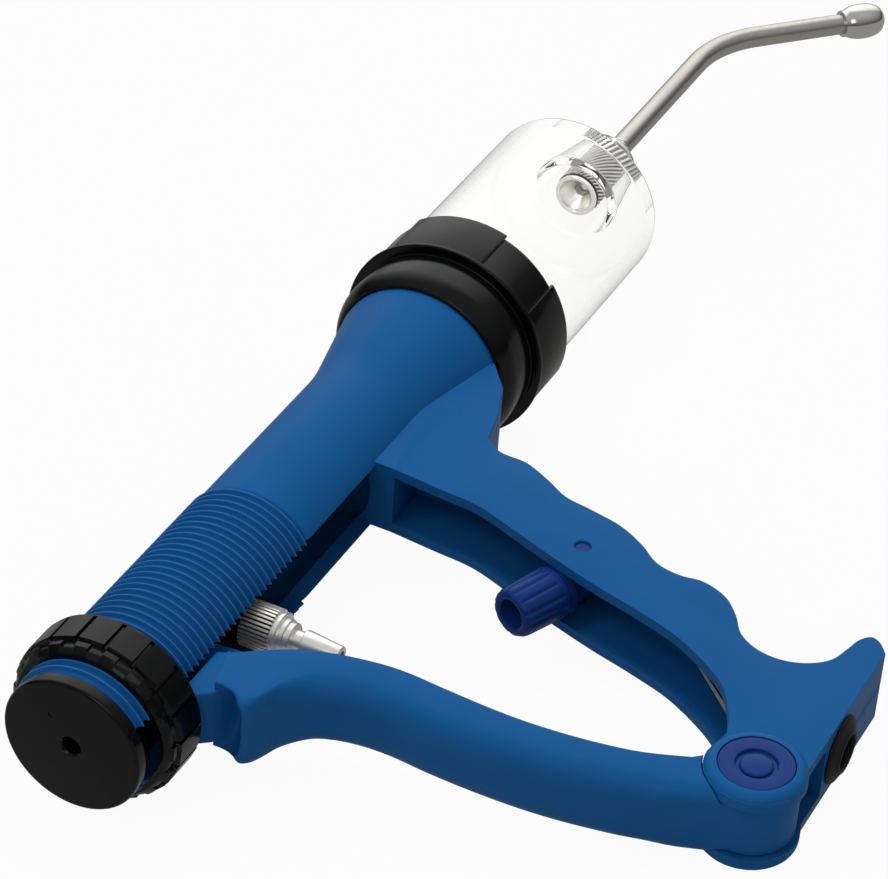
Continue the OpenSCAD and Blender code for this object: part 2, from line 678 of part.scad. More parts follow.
// Collar nut, clear cylinder and what seals and guides at the barrel's front
module collar_nut() {
    recess_r = collar_r - collar_recess_h;
    band_l = collar_pad_x - collar_x;
    lip_r = cyl_r + fixed_gap;
    edge = (collar_r - lip_r) / 2;
    recess_a = 360 / collar_pads * collar_recess_share;
    color(black) difference() {
        turned_x([
            [collar_bore_r, collar_x], [collar_band_r - edge / 2, collar_x],
            [collar_band_r - edge / 4, collar_x + band_l * collar_turn_share],
            [collar_band_r, collar_x + band_l * 3 * collar_turn_share],
            [collar_band_r, collar_pad_x], [collar_r, collar_pad_x],
            [collar_r, collar_front_x - edge], [collar_r - edge, collar_front_x], [lip_r, collar_front_x],
            [lip_r, collar_seat_x], [collar_inner_r, collar_seat_x],
            [collar_inner_r, front_x], [collar_bore_r, front_x]
        ]);
        for (i = [0 : collar_pads - 1])
            rotate([(i + collar_recess_turn_share) * 360 / collar_pads, 0, 0]) along_x()
                rotate_extrude(angle = recess_a) polygon([
                    [recess_r, collar_pad_x + edge], [collar_r + overrun, collar_pad_x + edge],
                    [collar_r + overrun, collar_front_x + overrun], [recess_r, collar_front_x + overrun]
                ]);
    }
}
module cylinder_profile() {
    polygon(concat(
        [
            [cyl_bore_r, cyl_x], [cyl_flange_r, cyl_x], [cyl_flange_r, cyl_x + cyl_flange_l],
            [cyl_r, cyl_x + cyl_flange_l]
        ],
        arc([cyl_r - cyl_edge, cyl_front_x - cyl_edge], cyl_edge, 0, 90),
        [
            [boss_r, cyl_front_x], [boss_end_r + boss_wall, boss_front_x],
            [valve_spigot_r + fixed_gap, boss_front_x], [valve_spigot_r + fixed_gap, boss_end_x],
            [boss_end_r, boss_end_x], [boss_bore_r, cyl_end_x], [cyl_bore_r, cyl_end_x]
        ]
    ));
}
module cylinder_cup() {
    color(clear) along_x() rotate_extrude() cylinder_profile();
}
module cylinder_seal() {
    color(rubber) turned_x([
        [cyl_bore_r, front_x], [flange_r, front_x], [flange_r, cyl_x], [cyl_bore_r, cyl_x]
    ]);
}
module rod_guide() {
    color(white) turned_x([
        [rod_r + run_gap, front_x - guide_l], [bore_r - fixed_gap, front_x - guide_l],
        [bore_r - fixed_gap, front_x], [rod_r + run_gap, front_x]
    ]);
}

// Outlet valve and nozzle
module knurl(r, count, depth, x0, x1) {
    for (i = [0 : count - 1]) rotate([i * 360 / count, 0, 0])
        translate([x0, r, 0]) rotate([45, 0, 0]) translate([0, -depth, -depth])
            cube([x1 - x0, 2 * depth, 2 * depth]);
}
module outlet_valve_body() {
    color(steel) difference() {
        turned_x([
            [valve_inlet_d / 2, valve_x], [valve_r, valve_x], [valve_r, valve_shoulder_x],
            [valve_spigot_r, valve_shoulder_x], [valve_spigot_r, valve_front_x],
            [nozzle_r + fixed_gap, valve_front_x], [nozzle_r + fixed_gap, nozzle_x],
            [ball_bore_r, nozzle_x], [ball_bore_r, outlet_seat_x], [valve_inlet_d / 2, outlet_seat_x]
        ]);
        knurl(valve_r, knurl_count, knurl_h, valve_x + valve_inlet_d / 2, boss_end_x);
    }
}
module outlet_valve_washer() {
    color(rubber) turned_x([
        [valve_spigot_r + fixed_gap, valve_shoulder_x], [valve_r, valve_shoulder_x],
        [valve_r, boss_end_x], [valve_spigot_r + fixed_gap, boss_end_x]
    ]);
}
module outlet_ball() {
    color(steel) translate([outlet_ball_x, 0, 0]) sphere(r = ball_r);
}
module nozzle_nut() {
    color(steel) difference() {
        translate([boss_front_x, 0, 0]) along_x() cylinder(h = nut_h, r = nozzle_nut_r, $fn = 6);
        rod_x(valve_spigot_r + fixed_gap, boss_front_x - overrun, valve_front_x + overrun);
    }
}
module nozzle_run(r, past) {
    rod_x(r, nozzle_x - past, bend_x);
    translate([bend_x, 0, 0]) sphere(r = r - fixed_gap);
    translate([bend_x, -nozzle_bend_r, 0]) rotate([0, 0, 90 - nozzle_bend])
        rotate_extrude(angle = nozzle_bend) translate([nozzle_bend_r, 0]) circle(r = r);
    translate([bend_end_x, bend_end_y, 0]) rotate([0, 0, -nozzle_bend]) {
        sphere(r = r - fixed_gap);
        rod_x(r, 0, nozzle_end_l + past);
    }
}
module nozzle_tube() {
    color(steel) difference() {
        nozzle_run(nozzle_r, 0);
        nozzle_run(nozzle_r - nozzle_wall, overrun);
    }
}
module nozzle_tip() {
    tip_r = tip_d / 2;
    seat_r = nozzle_r + fixed_gap;
    mouth_r = nozzle_r - nozzle_wall;
    seat_l = tip_l * tip_seat_share;
    rear_r = nozzle_r + nozzle_wall;
    olive = [for (a = [0 : 10 : 180]) let (x = tip_l * (1 - cos(a)) / 2)
        [max(tip_r * sqrt(sin(a)), a < 90 ? rear_r : mouth_r + nozzle_wall / 2), x]];
    color(steel) translate([bend_end_x, bend_end_y, 0]) rotate([0, 0, -nozzle_bend])
        translate([nozzle_end_l - seat_l, 0, 0])
            turned_x(concat([[seat_r, 0]], olive, [[mouth_r, tip_l], [mouth_r, seat_l], [seat_r, seat_l]]));
}

// Supply side: grommet in the handle's end, swivelling gland, hose fitting on the drive block
module hose_grommet() {
    flange_top = handle_drop - end_wall_t;
    color(rubber) translate([grommet_x, 0, 0]) difference() {
        union() {
            down_y(grommet_inner_r, flange_top - grommet_h / 2, flange_top);
            down_y(grommet_neck_r, flange_top, handle_drop);
            down_y(grommet_r, handle_drop, handle_drop + grommet_h);
        }
        down_y(grommet_bore_r, flange_top - grommet_h, handle_drop + grommet_h + overrun);
    }
}
module gland_body() {
    color(dark_blue) at_gland() difference() {
        union() {
            rod_x(gland_thread_r, -gland_tail_l, gland_nut_at + gland_nut_l / 2);
            rod_x(gland_flange_r, gland_flange_at, gland_flange_at + gland_flange_t);
            pin_z(gland_pin_d / 2, handle_w - plate_t / 2);
        }
        rod_x(gland_bore_r, -gland_tail_l - overrun, gland_nut_at + gland_nut_l);
    }
}
module gland_nut() {
    mouth_r = gland_flange_r - gland_taper;
    root_r = gland_flange_r;
    flute_r = mouth_r / 6;
    end = gland_nut_at + gland_nut_l;
    color(dark_blue) at_gland() difference() {
        turned_x([
            [gland_thread_r + fixed_gap, gland_nut_at], [root_r, gland_nut_at],
            [mouth_r, end - flute_r], [mouth_r - flute_r, end], [gland_bore_r, end],
            [gland_bore_r, gland_nut_at + gland_nut_l / 2 + fixed_gap],
            [gland_thread_r + fixed_gap, gland_nut_at + gland_nut_l / 2 + fixed_gap]
        ]);
        for (i = [0 : gland_flutes - 1]) rotate([i * 360 / gland_flutes, 0, 0])
            translate([0, root_r + flute_r / 2, 0])
                rod_x(flute_r, gland_nut_at + gland_flange_t, end + overrun);
    }
}
module at_fitting() {
    translate([fitting_x, 0, 0]) children();
}
module hose_nut() {
    hole_r = tail_stem_r + fixed_gap;
    color(steel) at_fitting() difference() {
        union() {
            down_y(hose_nut_r, nut_start, nut_end, hose_nut_r - hose_nut_wall / 4);
            down_y(hole_r + 2 * hose_step_h, nut_end, nut_end + hose_step_l);
            down_y(hole_r + hose_step_h, nut_end, nose_end);
        }
        down_y(spigot_r + fixed_gap, nut_start - overrun, tail_seat);
        down_y(hole_r, nut_start, nose_end + overrun);
        rotate([0, 0, -90])
            knurl(hose_nut_r, knurl_count, knurl_h, nut_start - overrun, nut_end - hose_nut_wall);
    }
}
module hose_tail() {
    neck_at = nose_end;
    barb_at = neck_at + tail_neck_l;
    color(steel) at_fitting() difference() {
        union() {
            down_y(tail_collar_r, spigot_end, tail_seat);
            down_y(tail_stem_r, spigot_end, neck_at);
            down_y(tail_neck_d / 2, spigot_end, barb_at);
            down_y(barb_d / 2, barb_at, barb_at + barb_l, tail_neck_d / 2);
        }
        down_y(tail_bore_d / 2, spigot_end - overrun, barb_at + barb_l + overrun);
    }
}

// Lever with its pivot and spring
function lever_outline() = concat(
    curve(on_lever(lever_front_shares)),
    [for (a = [0 : -20 : -180]) [pivot_x, -pivot_drop] + hub_r * [cos(a), sin(a)]],
    curve(on_lever(lever_rear_shares))
);
function lever_channel() = concat(
    [for (p = curve(on_lever(lever_front_shares))) if (inside_channel(p)) p + [lever_span, 0]],
    [for (p = curve(on_lever(lever_rear_shares))) if (inside_channel(p)) p + [lever_wall, 0]]
);
function inside_channel(p) =
    p[1] < lever_y(lever_channel_shares[0]) && p[1] > lever_y(lever_channel_shares[1]);
function tongue_outline() = concat(
    [[lever_x, -tongue_drop]],
    on_lever(lever_tongue_shares),
    [[lever_x + lever_span * tongue_top_share, -tongue_drop]]
);
function neck_outline() = let (
    neck = head_neck_t / 2,
    depth = tongue_drop - head_drop,
    root = pivot_drop * head_root_share
) [for (p = [
        [neck / 2, -root], [neck, -depth], [neck, 0], [-neck, 0], [-neck, -depth], [-3 * neck, -root]
    ]) [head_x, -head_drop] + turned(p, head_lean)];
module spring_bay() {
    bay_r = coil_r + coil_wire_d;
    top = lever_y(spring_bay_share);
    at_pivot() pin_z(bay_r, hub_gap_w);
    slab(concat(
        [for (p = curve(on_lever(lever_rear_shares))) if (p[1] < top) p + [lever_wall, 0]],
        [
            [pivot_x + hub_d, top], [pivot_x + hub_d, -pivot_drop - bay_r],
            [pivot_x, -pivot_drop - bay_r], [pivot_x - bay_r, -pivot_drop]
        ]
    ), hub_gap_w);
}
module lever() {
    color(blue) difference() {
        union() {
            slab(lever_outline(), lever_w);
            slab(tongue_outline(), tongue_w);
            slab(neck_outline(), head_w);
            translate([head_x, -head_drop, 0]) pin_z(head_r, head_w);
        }
        for (side = [0, 1]) mirror([0, 0, side]) at_pivot()
            translate([0, 0, hub_w / 2]) cylinder(h = lever_w, r = ear_r + slide_gap);
        spring_bay();
        at_pivot() pin_z(pin_r + run_gap, ear_w);
        slab(lever_channel(), lever_channel_w);
    }
}
module pivot_pin() {
    color(dark_blue) at_pivot() pin_z(pin_r, ear_w);
}
module pivot_caps() {
    color(dark_blue) for (side = [0, 1]) mirror([0, 0, side]) at_pivot()
        translate([0, 0, ear_w / 2 - pivot_cap_t]) difference() {
            cylinder(h = pivot_cap_t, r = pivot_cap_d / 2);
            translate([0, 0, -overrun]) cylinder(h = pivot_cap_t + 2 * overrun, r = pin_r + fixed_gap);
        }
}
function leg_length(end) = sqrt(pow(norm(end), 2) - pow(coil_r, 2));
function lever_spring_path() = let (
    sweep = coil_end - coil_start,
    rings = round(sweep / 360 * coil_rings),
    centre = [pivot_x, -pivot_drop, -coil_rise / 2],
    spot = function(a) centre + [coil_r * cos(a), coil_r * sin(a), (a - coil_start) / sweep * coil_rise],
    way = function(a) [-sin(a), cos(a), 0]
) concat(
    [for (l = [1, 0.5]) spot(coil_start) - l * lever_leg_l * way(coil_start)],
    [for (k = [0 : rings]) spot(coil_start + sweep * k / rings)],
    [for (l = [0.5, 1]) spot(coil_end) + l * handle_leg_l * way(coil_end)]
);
module lever_spring() {
    echo(lever_spring_gap = self_gap(lever_spring_path(), coil_wire_d));
    color(steel) wire(lever_spring_path(), coil_wire_d / 2, [0, 0, 1]);
}

// Compression springs of the two valves
function coil_path(x, l) = let (
    run = l - valve_wire_d,
    rings = floor(run / (valve_wire_d * valve_pitch_share)) * coil_rings
) [
    for (k = [0 : rings]) [
        x + valve_wire_d / 2 + run * k / rings,
        valve_coil_r * cos(360 * k / coil_rings), valve_coil_r * sin(360 * k / coil_rings)
    ]
];
module valve_spring(x, l) {
    echo(valve_spring_gap = self_gap(coil_path(x, l), valve_wire_d));
    color(steel) wire(coil_path(x, l), valve_wire_d / 2, [1, 0, 0]);
}
module outlet_spring() {
    valve_spring(outlet_spring_x, outlet_spring_l);
}
module inlet_spring() {
    valve_spring(inlet_spring_x, inlet_spring_l);
}

// Piston, its rod and the block that the lever drives
module drive_block() {
    color(white) difference() {
        union() {
            difference() {
                rod_x(block_r, block_x, block_front_x);
                translate([block_x - overrun, -block_flat - block_r, -block_r])
                    cube([block_front_x - block_x + 2 * overrun, block_r, 2 * block_r]);
            }
            at_fitting() down_y(spigot_r, rod_r, spigot_end);
        }
        translate([head_x - groove_r, -block_r - overrun, -block_r])
            cube([2 * groove_r, block_r + overrun + head_r - head_drop / 2, 2 * block_r]);
        rod_x(rod_r + fixed_gap, rod_x, block_front_x + overrun);
        at_fitting() down_y(rod_bore_d / 2, 0, spigot_end + overrun);
    }
}
module piston_rod() {
    color(steel) difference() {
        rod_x(rod_r, rod_x, rod_end_x);
        rod_x(rod_bore_d / 2, rod_x + rod_bore_d / 2, rod_end_x + overrun);
        at_fitting() down_y(rod_bore_d / 2, 0, rod_d);
    }
}
module piston() {
    groove_r = piston_r - seal_h;
    color(black) difference() {
        turned_x(concat(
            [[rod_r + fixed_gap, piston_x], [piston_r, piston_x]],
            [for (s = seal_shares) let (x = piston_x + piston_l * s)
                each [[piston_r, x], [groove_r, x], [groove_r, x + seal_w], [piston_r, x + seal_w]]],
            [
                [piston_r, piston_front_x],
                [cage_r + fixed_gap, piston_front_x], [cage_r + fixed_gap, cage_x],
                [ball_bore_r, cage_x], [ball_bore_r, rod_end_x], [rod_r + fixed_gap, rod_end_x]
            ]
        ));
    }
}
module piston_seals() {
    inner_r = piston_r - seal_h + fixed_gap;
    outer_r = cyl_bore_r - seal_gap;
    w = seal_w - 2 * fixed_gap;
    color(rubber) for (s = seal_shares) let (x = piston_x + piston_l * s + fixed_gap)
        turned_x([[inner_r, x], [outer_r, x], [outer_r, x + w], [inner_r, x + w]]);
}
module inlet_ball() {
    color(steel) translate([inlet_ball_x, 0, 0]) sphere(r = ball_r);
}
module inlet_cage() {
    port_r = cage_r / 5;
    color(white) difference() {
        rod_x(cage_r, cage_x, piston_front_x);
        for (i = [0 : 3]) rotate([i * 90, 0, 0]) translate([0, cage_r / 2, 0])
            rod_x(port_r, cage_x - overrun, piston_front_x + overrun);
    }
}

body();
end_cap();
dose_ring();
collar_nut();
cylinder_cup();  // cylinder
cylinder_seal();
rod_guide();
outlet_valve_body();
outlet_valve_washer();
outlet_ball();
outlet_spring();
nozzle_nut();
nozzle_tube();
nozzle_tip();
hose_grommet();
gland_body();
gland_nut();
lever();
lever_spring();
pivot_pin();
pivot_caps();
drive_block();
piston_rod();
piston();
piston_seals();
inlet_ball();
inlet_spring();
inlet_cage();
hose_nut();
hose_tail();
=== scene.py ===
"""Livestock drencher: the dressed model, in the CAD's frame and in metres."""
import math

import bmesh
import bpy
from mathutils import Matrix, Vector


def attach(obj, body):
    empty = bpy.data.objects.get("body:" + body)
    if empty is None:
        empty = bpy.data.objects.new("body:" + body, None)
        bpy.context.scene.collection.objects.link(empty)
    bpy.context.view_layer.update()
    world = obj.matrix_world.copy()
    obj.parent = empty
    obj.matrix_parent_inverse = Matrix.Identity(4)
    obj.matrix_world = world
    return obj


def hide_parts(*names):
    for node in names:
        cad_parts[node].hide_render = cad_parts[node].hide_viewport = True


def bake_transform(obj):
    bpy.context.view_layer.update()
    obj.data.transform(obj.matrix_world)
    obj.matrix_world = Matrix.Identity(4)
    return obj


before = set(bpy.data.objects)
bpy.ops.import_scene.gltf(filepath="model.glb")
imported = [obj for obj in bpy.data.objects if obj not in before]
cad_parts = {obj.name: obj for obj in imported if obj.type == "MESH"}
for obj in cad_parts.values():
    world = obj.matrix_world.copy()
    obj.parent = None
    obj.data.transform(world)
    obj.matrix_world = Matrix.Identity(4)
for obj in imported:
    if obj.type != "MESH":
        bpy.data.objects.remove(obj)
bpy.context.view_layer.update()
MM = 0.001
TURN = 2 * math.pi

# Camera


def place_camera():
    data = bpy.data.cameras.new("photo_camera")
    data.sensor_width, data.lens = 36.0, 149.07
    data.clip_start, data.clip_end = 0.05, 50.0
    camera = bpy.data.objects.new("photo_camera", data)
    right, up = Vector((0.45356, -0.88914, 0.06093)), Vector((0.51432, 0.31697, 0.79687))
    back, spot = Vector((-0.72784, -0.33009, 0.60107)), Vector((-0.4496, -0.2773, 0.47425))
    rows = [(right[i], up[i], back[i], spot[i]) for i in range(3)]
    camera.matrix_world = Matrix(rows + [(0, 0, 0, 1)])
    bpy.context.scene.collection.objects.link(camera)
    bpy.context.scene.camera = camera
    bpy.context.scene.view_settings.view_transform = "Standard"


place_camera()

# Finishes


def srgb(red, green, blue):
    """A colour read on screen, as the linear colour that a shader takes."""
    return tuple(
        c / 12.92 if c <= 0.04045 else ((c + 0.055) / 1.055) ** 2.4
        for c in (red / 255, green / 255, blue / 255)
    ) + (1.0,)


class Wire:
    """A socket's value; sums of wires add the nodes that work them out."""

    def __init__(self, finish, socket):
        self.finish, self.socket = finish, socket

    def math(self, how, *values):
        return self.finish.node("Math", {"operation": how}, dict(enumerate(values)))

    def __add__(self, other):
        return self.math("ADD", self, other)

    def __radd__(self, other):
        return self.math("ADD", other, self)

    def __sub__(self, other):
        return self.math("SUBTRACT", self, other)

    def __rsub__(self, other):
        return self.math("SUBTRACT", other, self)

    def __mul__(self, other):
        return self.math("MULTIPLY", self, other)

    def __rmul__(self, other):
        return self.math("MULTIPLY", other, self)

    def most(self, other):
        return self.math("MAXIMUM", self, other)


class Finish:
    """The nodes behind one material, or behind the room."""

    def __init__(self, name, kept_in="materials"):
        self.owner = getattr(bpy.data, kept_in).new(name)
        self.owner.use_nodes = True
        self.tree = self.owner.node_tree
        self.tree.nodes.clear()

    def node(self, kind, settings=None, sockets=None, out=0):
        """A node of a kind: its settings come first, then its sockets' values or links."""
        made = self.tree.nodes.new("ShaderNode" + kind)
        for key, value in (settings or {}).items():
            setattr(made, key, value)
        for key, value in (sockets or {}).items():
            if isinstance(value, Wire):
                self.tree.links.new(value.socket, made.inputs[key])
            else:
                made.inputs[key].default_value = value
        return Wire(self, made.outputs[out]) if made.outputs else None

    def spot(self):
        return self.node("TexCoord", out="Object")

    def axes(self, spot):
        return [self.node("SeparateXYZ", None, {0: spot}, out=i) for i in range(3)]

    def ray(self, kind):
        return self.node("LightPath", out=f"Is {kind} Ray")

    def grain(self, spot, scale, detail=3.0, stretch=None):
        if stretch:
            spot = self.node("Mapping", None, {"Vector": spot, "Scale": stretch})
        return self.node(
            "TexNoise", None, {"Vector": spot, "Scale": scale, "Detail": detail}, out="Fac")

    def band(self, value, low, high, to_low=0.0, to_high=1.0):
        return self.node("MapRange", None, {0: value, 1: low, 2: high, 3: to_low, 4: to_high})

    def shell(self, reach, low, high, *ends):
        """A band between two radii in mm, where reach is the square of the distance."""
        return self.band(reach, (low * MM) ** 2, (high * MM) ** 2, *ends)

    def mix(self, share, first, second):
        return self.node(
            "Mix", {"data_type": "RGBA"}, {"Factor": share, 6: first, 7: second}, out=2)

    def bump(self, height, strength, distance):
        return self.node(
            "Bump", None, {"Height": height, "Strength": strength, "Distance": distance})

    def close(self, shader, end="OutputMaterial"):
        self.node(end, None, {"Surface": shader})
        return self.owner

    def principled(self, **sockets):
        named = {key.replace("_", " "): value for key, value in sockets.items()}
        return self.close(self.node("BsdfPrincipled", None, named))


def moulded(name, colour, worn, rough, specular, painted_light=None):
    """Moulded plastic: slow tone changes, a fine skin and faint rubbed marks."""
    made = Finish(name)
    spot = made.spot()
    tone = made.grain(spot, 45.0, 2.0)
    skin = made.grain(spot, 2600.0, 2.0)
    rubbed = made.band(made.grain(spot, 160.0, 6.0), 0.56, 0.78)
    deeper = tuple(0.9 * c for c in colour[:3]) + (1.0,)
    shade = made.mix(made.band(tone, 0.3, 0.7), deeper, colour)
    # Where a function is given here, it paints shade and highlight into the colour.
    if painted_light:
        shade = painted_light(made, spot, shade)
    return made.principled(
        Base_Color=made.mix(rubbed * 0.14, shade, worn),
        Roughness=rough + 0.12 * rubbed + 0.05 * tone,
        Specular_IOR_Level=specular,
        Normal=made.bump(skin, 0.35, 0.00002),
    )


def thread_painted_shade_and_highlight(made, spot, shade):
    """Painted shade, dark in the thread's roots and the slot, and painted highlight, pale on the
    crests.
    """
    along, aside, height = made.axes(spot)
    reach = aside * aside + height * height
    zone = made.band(along, 70.4 * MM, 71 * MM, 1.0, 0.0)
    painted_root_shade = made.shell(reach, 14.72, 15.3, 1.0, 0.0)
    painted_crest_highlight = made.shell(reach, 15.4, 15.52) * made.shell(reach, 15.6, 15.7, 1.0, 0.0)
    # Painted shade in the roots and the slot, painted highlight on the crests.
    shade = made.mix(painted_root_shade * zone * 0.5, shade, srgb(2, 52, 112))
    return made.mix(painted_crest_highlight * zone * 0.45, shade, srgb(62, 124, 188))


def rubber(name, colour):
    made = Finish(name)
    spot = made.spot()
    dust = made.band(made.grain(spot, 260.0, 5.0), 0.5, 0.8)
    return made.principled(
        Base_Color=made.mix(dust * 0.25, colour, srgb(48, 48, 46)),
        Roughness=0.5 + 0.15 * dust,
        Specular_IOR_Level=0.2,
        Normal=made.bump(made.grain(spot, 3200.0), 0.4, 0.00003),
    )


def plated(name, colour, rough):
    """Nickel plate: a bright metal with faint polishing marks and small stains."""
    made = Finish(name)
    spot = made.spot()
    stain = made.band(made.grain(spot, 380.0, 4.0), 0.52, 0.75)
    return made.principled(
        Base_Color=made.mix(stain * 0.3, colour, srgb(150, 146, 138)),
        Metallic=1.0,
        Roughness=rough + 0.12 * stain,
        Normal=made.bump(made.grain(spot, 1500.0, 2.0), 0.12, 0.00002),
    )


def knurled(name, colour, rough, metal, run, centre, edge, start, end):
    """Plated knurls: bright lands, and painted shade, near black, in the grooves below the edge's
    radius.

    The grooves go from start to end along the run, the axis that the piece is turned about.
    """
    made = Finish(name)
    spot = made.spot()
    axes = made.axes(spot)
    off, height = axes[1 - run] - centre * MM, axes[2]
    reach = off * off + height * height
    groove = made.shell(reach, edge - 0.3, edge, 1.0, 0.0) * made.shell(
        reach, edge - 0.9, edge - 0.75)
    zone = made.band(axes[run], (start - 0.1) * MM, start * MM) * made.band(
        axes[run], end * MM, (end + 0.1) * MM, 1.0, 0.0)
    # Painted shade in the grooves: near black, less metallic and rougher.
    painted_groove_shade = groove * zone
    stain = made.band(made.grain(spot, 380.0, 4.0), 0.52, 0.75)
    return made.principled(
        Base_Color=made.mix(painted_groove_shade * 0.97, colour, srgb(14, 14, 12)),
        Metallic=metal - 0.9 * metal * painted_groove_shade,
        Roughness=rough + 0.1 * stain + 0.3 * painted_groove_shade,
        Specular_IOR_Level=0.1,
        Normal=made.bump(made.grain(spot, 1500.0, 2.0), 0.12, 0.00002),
    )


def drawn(name, colour, rough):
    """Drawn tube: fine lines along the tube's run."""
    made = Finish(name)
    spot = made.spot()
    lines = made.grain(spot, 1400.0, 3.0, (0.03, 1.0, 1.0))
    stain = made.band(made.grain(spot, 120.0, 4.0), 0.5, 0.8)
    return made.principled(
        Base_Color=made.mix(lines * 0.35, colour, srgb(140, 136, 128)),
        Metallic=1.0,
        Roughness=rough + 0.16 * lines + 0.08 * stain,
        Normal=made.bump(lines, 0.2, 0.00002),
    )


def clear_plastic(name):
    made = Finish(name)
    spot = made.spot()
    scuff = made.band(made.grain(spot, 700.0, 6.0), 0.6, 0.8)
    return made.principled(
        Base_Color=(1.0, 1.0, 0.995, 1.0),
        Roughness=0.015 + 0.04 * scuff,
        IOR=1.2,
        Transmission_Weight=1.0,
        Normal=made.bump(made.grain(spot, 60.0, 1.0), 0.05, 0.0002),
    )


BLUE_SKIN = (srgb(21, 87, 146), srgb(32, 105, 162), 0.38, 0.07)
BLUE = moulded("blue_plastic", *BLUE_SKIN)
BODY_BLUE = moulded("blue_body_plastic", *BLUE_SKIN, thread_painted_shade_and_highlight)
DARK_BLUE = moulded("dark_blue_plastic", srgb(19, 52, 118), srgb(46, 80, 140), 0.18, 0.11)
BLACK = moulded("black_plastic", srgb(6, 7, 7), srgb(18, 19, 18), 0.13, 0.24)
MATT_BLACK = moulded("matt_black_plastic", srgb(7, 8, 8), srgb(14, 15, 14), 0.6, 0.03)
WHITE = moulded("white_plastic", srgb(222, 221, 214), srgb(236, 236, 230), 0.42, 0.4)
RUBBER = rubber("black_rubber", srgb(18, 19, 18))
NICKEL = plated("nickel_plate", srgb(222, 219, 212), 0.12)
UNION_PLATE = knurled("union_plate", srgb(244, 241, 233), 0.32, 0.8, 1, 50, 4.95, -17.4, 0)
VALVE_KNURLS = knurled("knurled_valve", srgb(226, 224, 218), 0.34, 1.0, 0, 0, 5.48, 225.9, 239.6)
STEEL = plated("bright_steel", srgb(216, 216, 216), 0.1)
TUBE = drawn("brushed_tube", srgb(205, 201, 194), 0.22)
SPRING_WIRE = drawn("spring_steel", srgb(190, 188, 182), 0.25)
CLEAR = clear_plastic("clear_plastic")

# Shaping


def curve(points, steps=6):
    """A smooth line through points, as many steps between each two."""
    line = []
    for i in range(len(points) - 1):
        a, b = Vector(points[max(i - 1, 0)]), Vector(points[i])
        c, d = Vector(points[i + 1]), Vector(points[min(i + 2, len(points) - 1)])
        for k in range(steps):
            t = k / steps
            line.append(tuple((
                2 * b + (c - a) * t + (2 * a - 5 * b + 4 * c - d) * t ** 2
                + (3 * b - a - 3 * c + d) * t ** 3) / 2))
    return line + [tuple(points[-1])]


def tidy(bm):
    bmesh.ops.remove_doubles(bm, verts=bm.verts[:], dist=0.000002)
    bmesh.ops.recalc_face_normals(bm, faces=bm.faces[:])
    return bm


def grown_verts(geom):
    """The vertices in what an operator made."""
    return [v for v in geom if isinstance(v, bmesh.types.BMVert)]


def far_edges(geom):
    """The edges along the far end of what was drawn out."""
    ends = set(grown_verts(geom))
    return [e for e in geom if isinstance(e, bmesh.types.BMEdge) and set(e.verts) <= ends]


def raised(bm, height):
    """A flat face given a height along Z in mm."""
    grown = bmesh.ops.extrude_face_region(bm, geom=bm.faces[:])["geom"]
    bmesh.ops.translate(bm, verts=grown_verts(grown), vec=(0, 0, height * MM))
    return tidy(bm)


def slab(points, low, high):
    """A flat outline in mm given a thickness along Z."""
    bm = bmesh.new()
    bm.faces.new([bm.verts.new((x * MM, y * MM, low * MM)) for x, y in points])
    return raised(bm, high - low)


def profile(bm, points, segments=4):
    """A closed wire from (along, radius, rounding) in mm, with the corners rounded."""
    verts = [bm.verts.new((p[0] * MM, p[1] * MM, 0)) for p in points]
    bm.faces.new(verts)
    for vert, point in zip(verts, points):
        if len(point) > 2:
            bmesh.ops.bevel(
                bm, geom=[vert], offset=point[2] * MM, offset_type="OFFSET", segments=segments,
                profile=0.5, affect="VERTICES", material=-1)
    return bm.faces[:]


def turn(points, place=None, steps=96, segments=4):
    """A round piece: the profile is turned about the X axis, then put in its place."""
    bm = bmesh.new()
    faces = profile(bm, points, segments)
    bmesh.ops.delete(bm, geom=faces, context="FACES_KEEP_BOUNDARY")
    on_axis = [e for e in bm.edges if all(abs(v.co.y) < 1e-7 for v in e.verts)]
    bmesh.ops.delete(bm, geom=on_axis, context="EDGES")
    bmesh.ops.spin(
        bm, geom=bm.verts[:] + bm.edges[:], cent=(0, 0, 0), axis=(1, 0, 0), dvec=(0, 0, 0),
        angle=TURN, steps=steps, use_merge=True, use_duplicate=False)
    tidy(bm)
    if place:
        bm.transform(place)
    return bm


def drill(start, end, radius, place=None, steps=64):
    """A plain round bar along X, to cut with."""
    return turn([(start, 0), (start, radius), (end, radius), (end, 0)], place, steps)


def block(low, high):
    """A box between two corners in mm, to cut with."""
    bm = bmesh.new()
    bmesh.ops.create_cube(bm, size=1.0)
    size = [(b - a) * MM for a, b in zip(low, high)]
    middle = [(a + b) / 2 * MM for a, b in zip(low, high)]
    bmesh.ops.scale(bm, vec=size, verts=bm.verts[:])
    bmesh.ops.translate(bm, vec=middle, verts=bm.verts[:])
    return bm


def soften(bm, edges, width):
    """Edges rounded by a width in mm."""
    bmesh.ops.bevel(
        bm, geom=edges, offset=width * MM, offset_type="OFFSET", segments=3, profile=0.5,
        affect="EDGES", material=-1, clamp_overlap=True)


def placed(bm, name):
    """A bmesh as an object in the scene."""
    mesh = bpy.data.meshes.new(name)
    bm.to_mesh(mesh)
    bm.free()
    made = bpy.data.objects.new(name, mesh)
    bpy.context.scene.collection.objects.link(made)
    return made


def evaluated(shape):
    """An object's mesh as its modifiers, or a curve's own settings, leave it."""
    graph = bpy.context.evaluated_depsgraph_get()
    return bpy.data.meshes.new_from_object(shape.evaluated_get(graph))


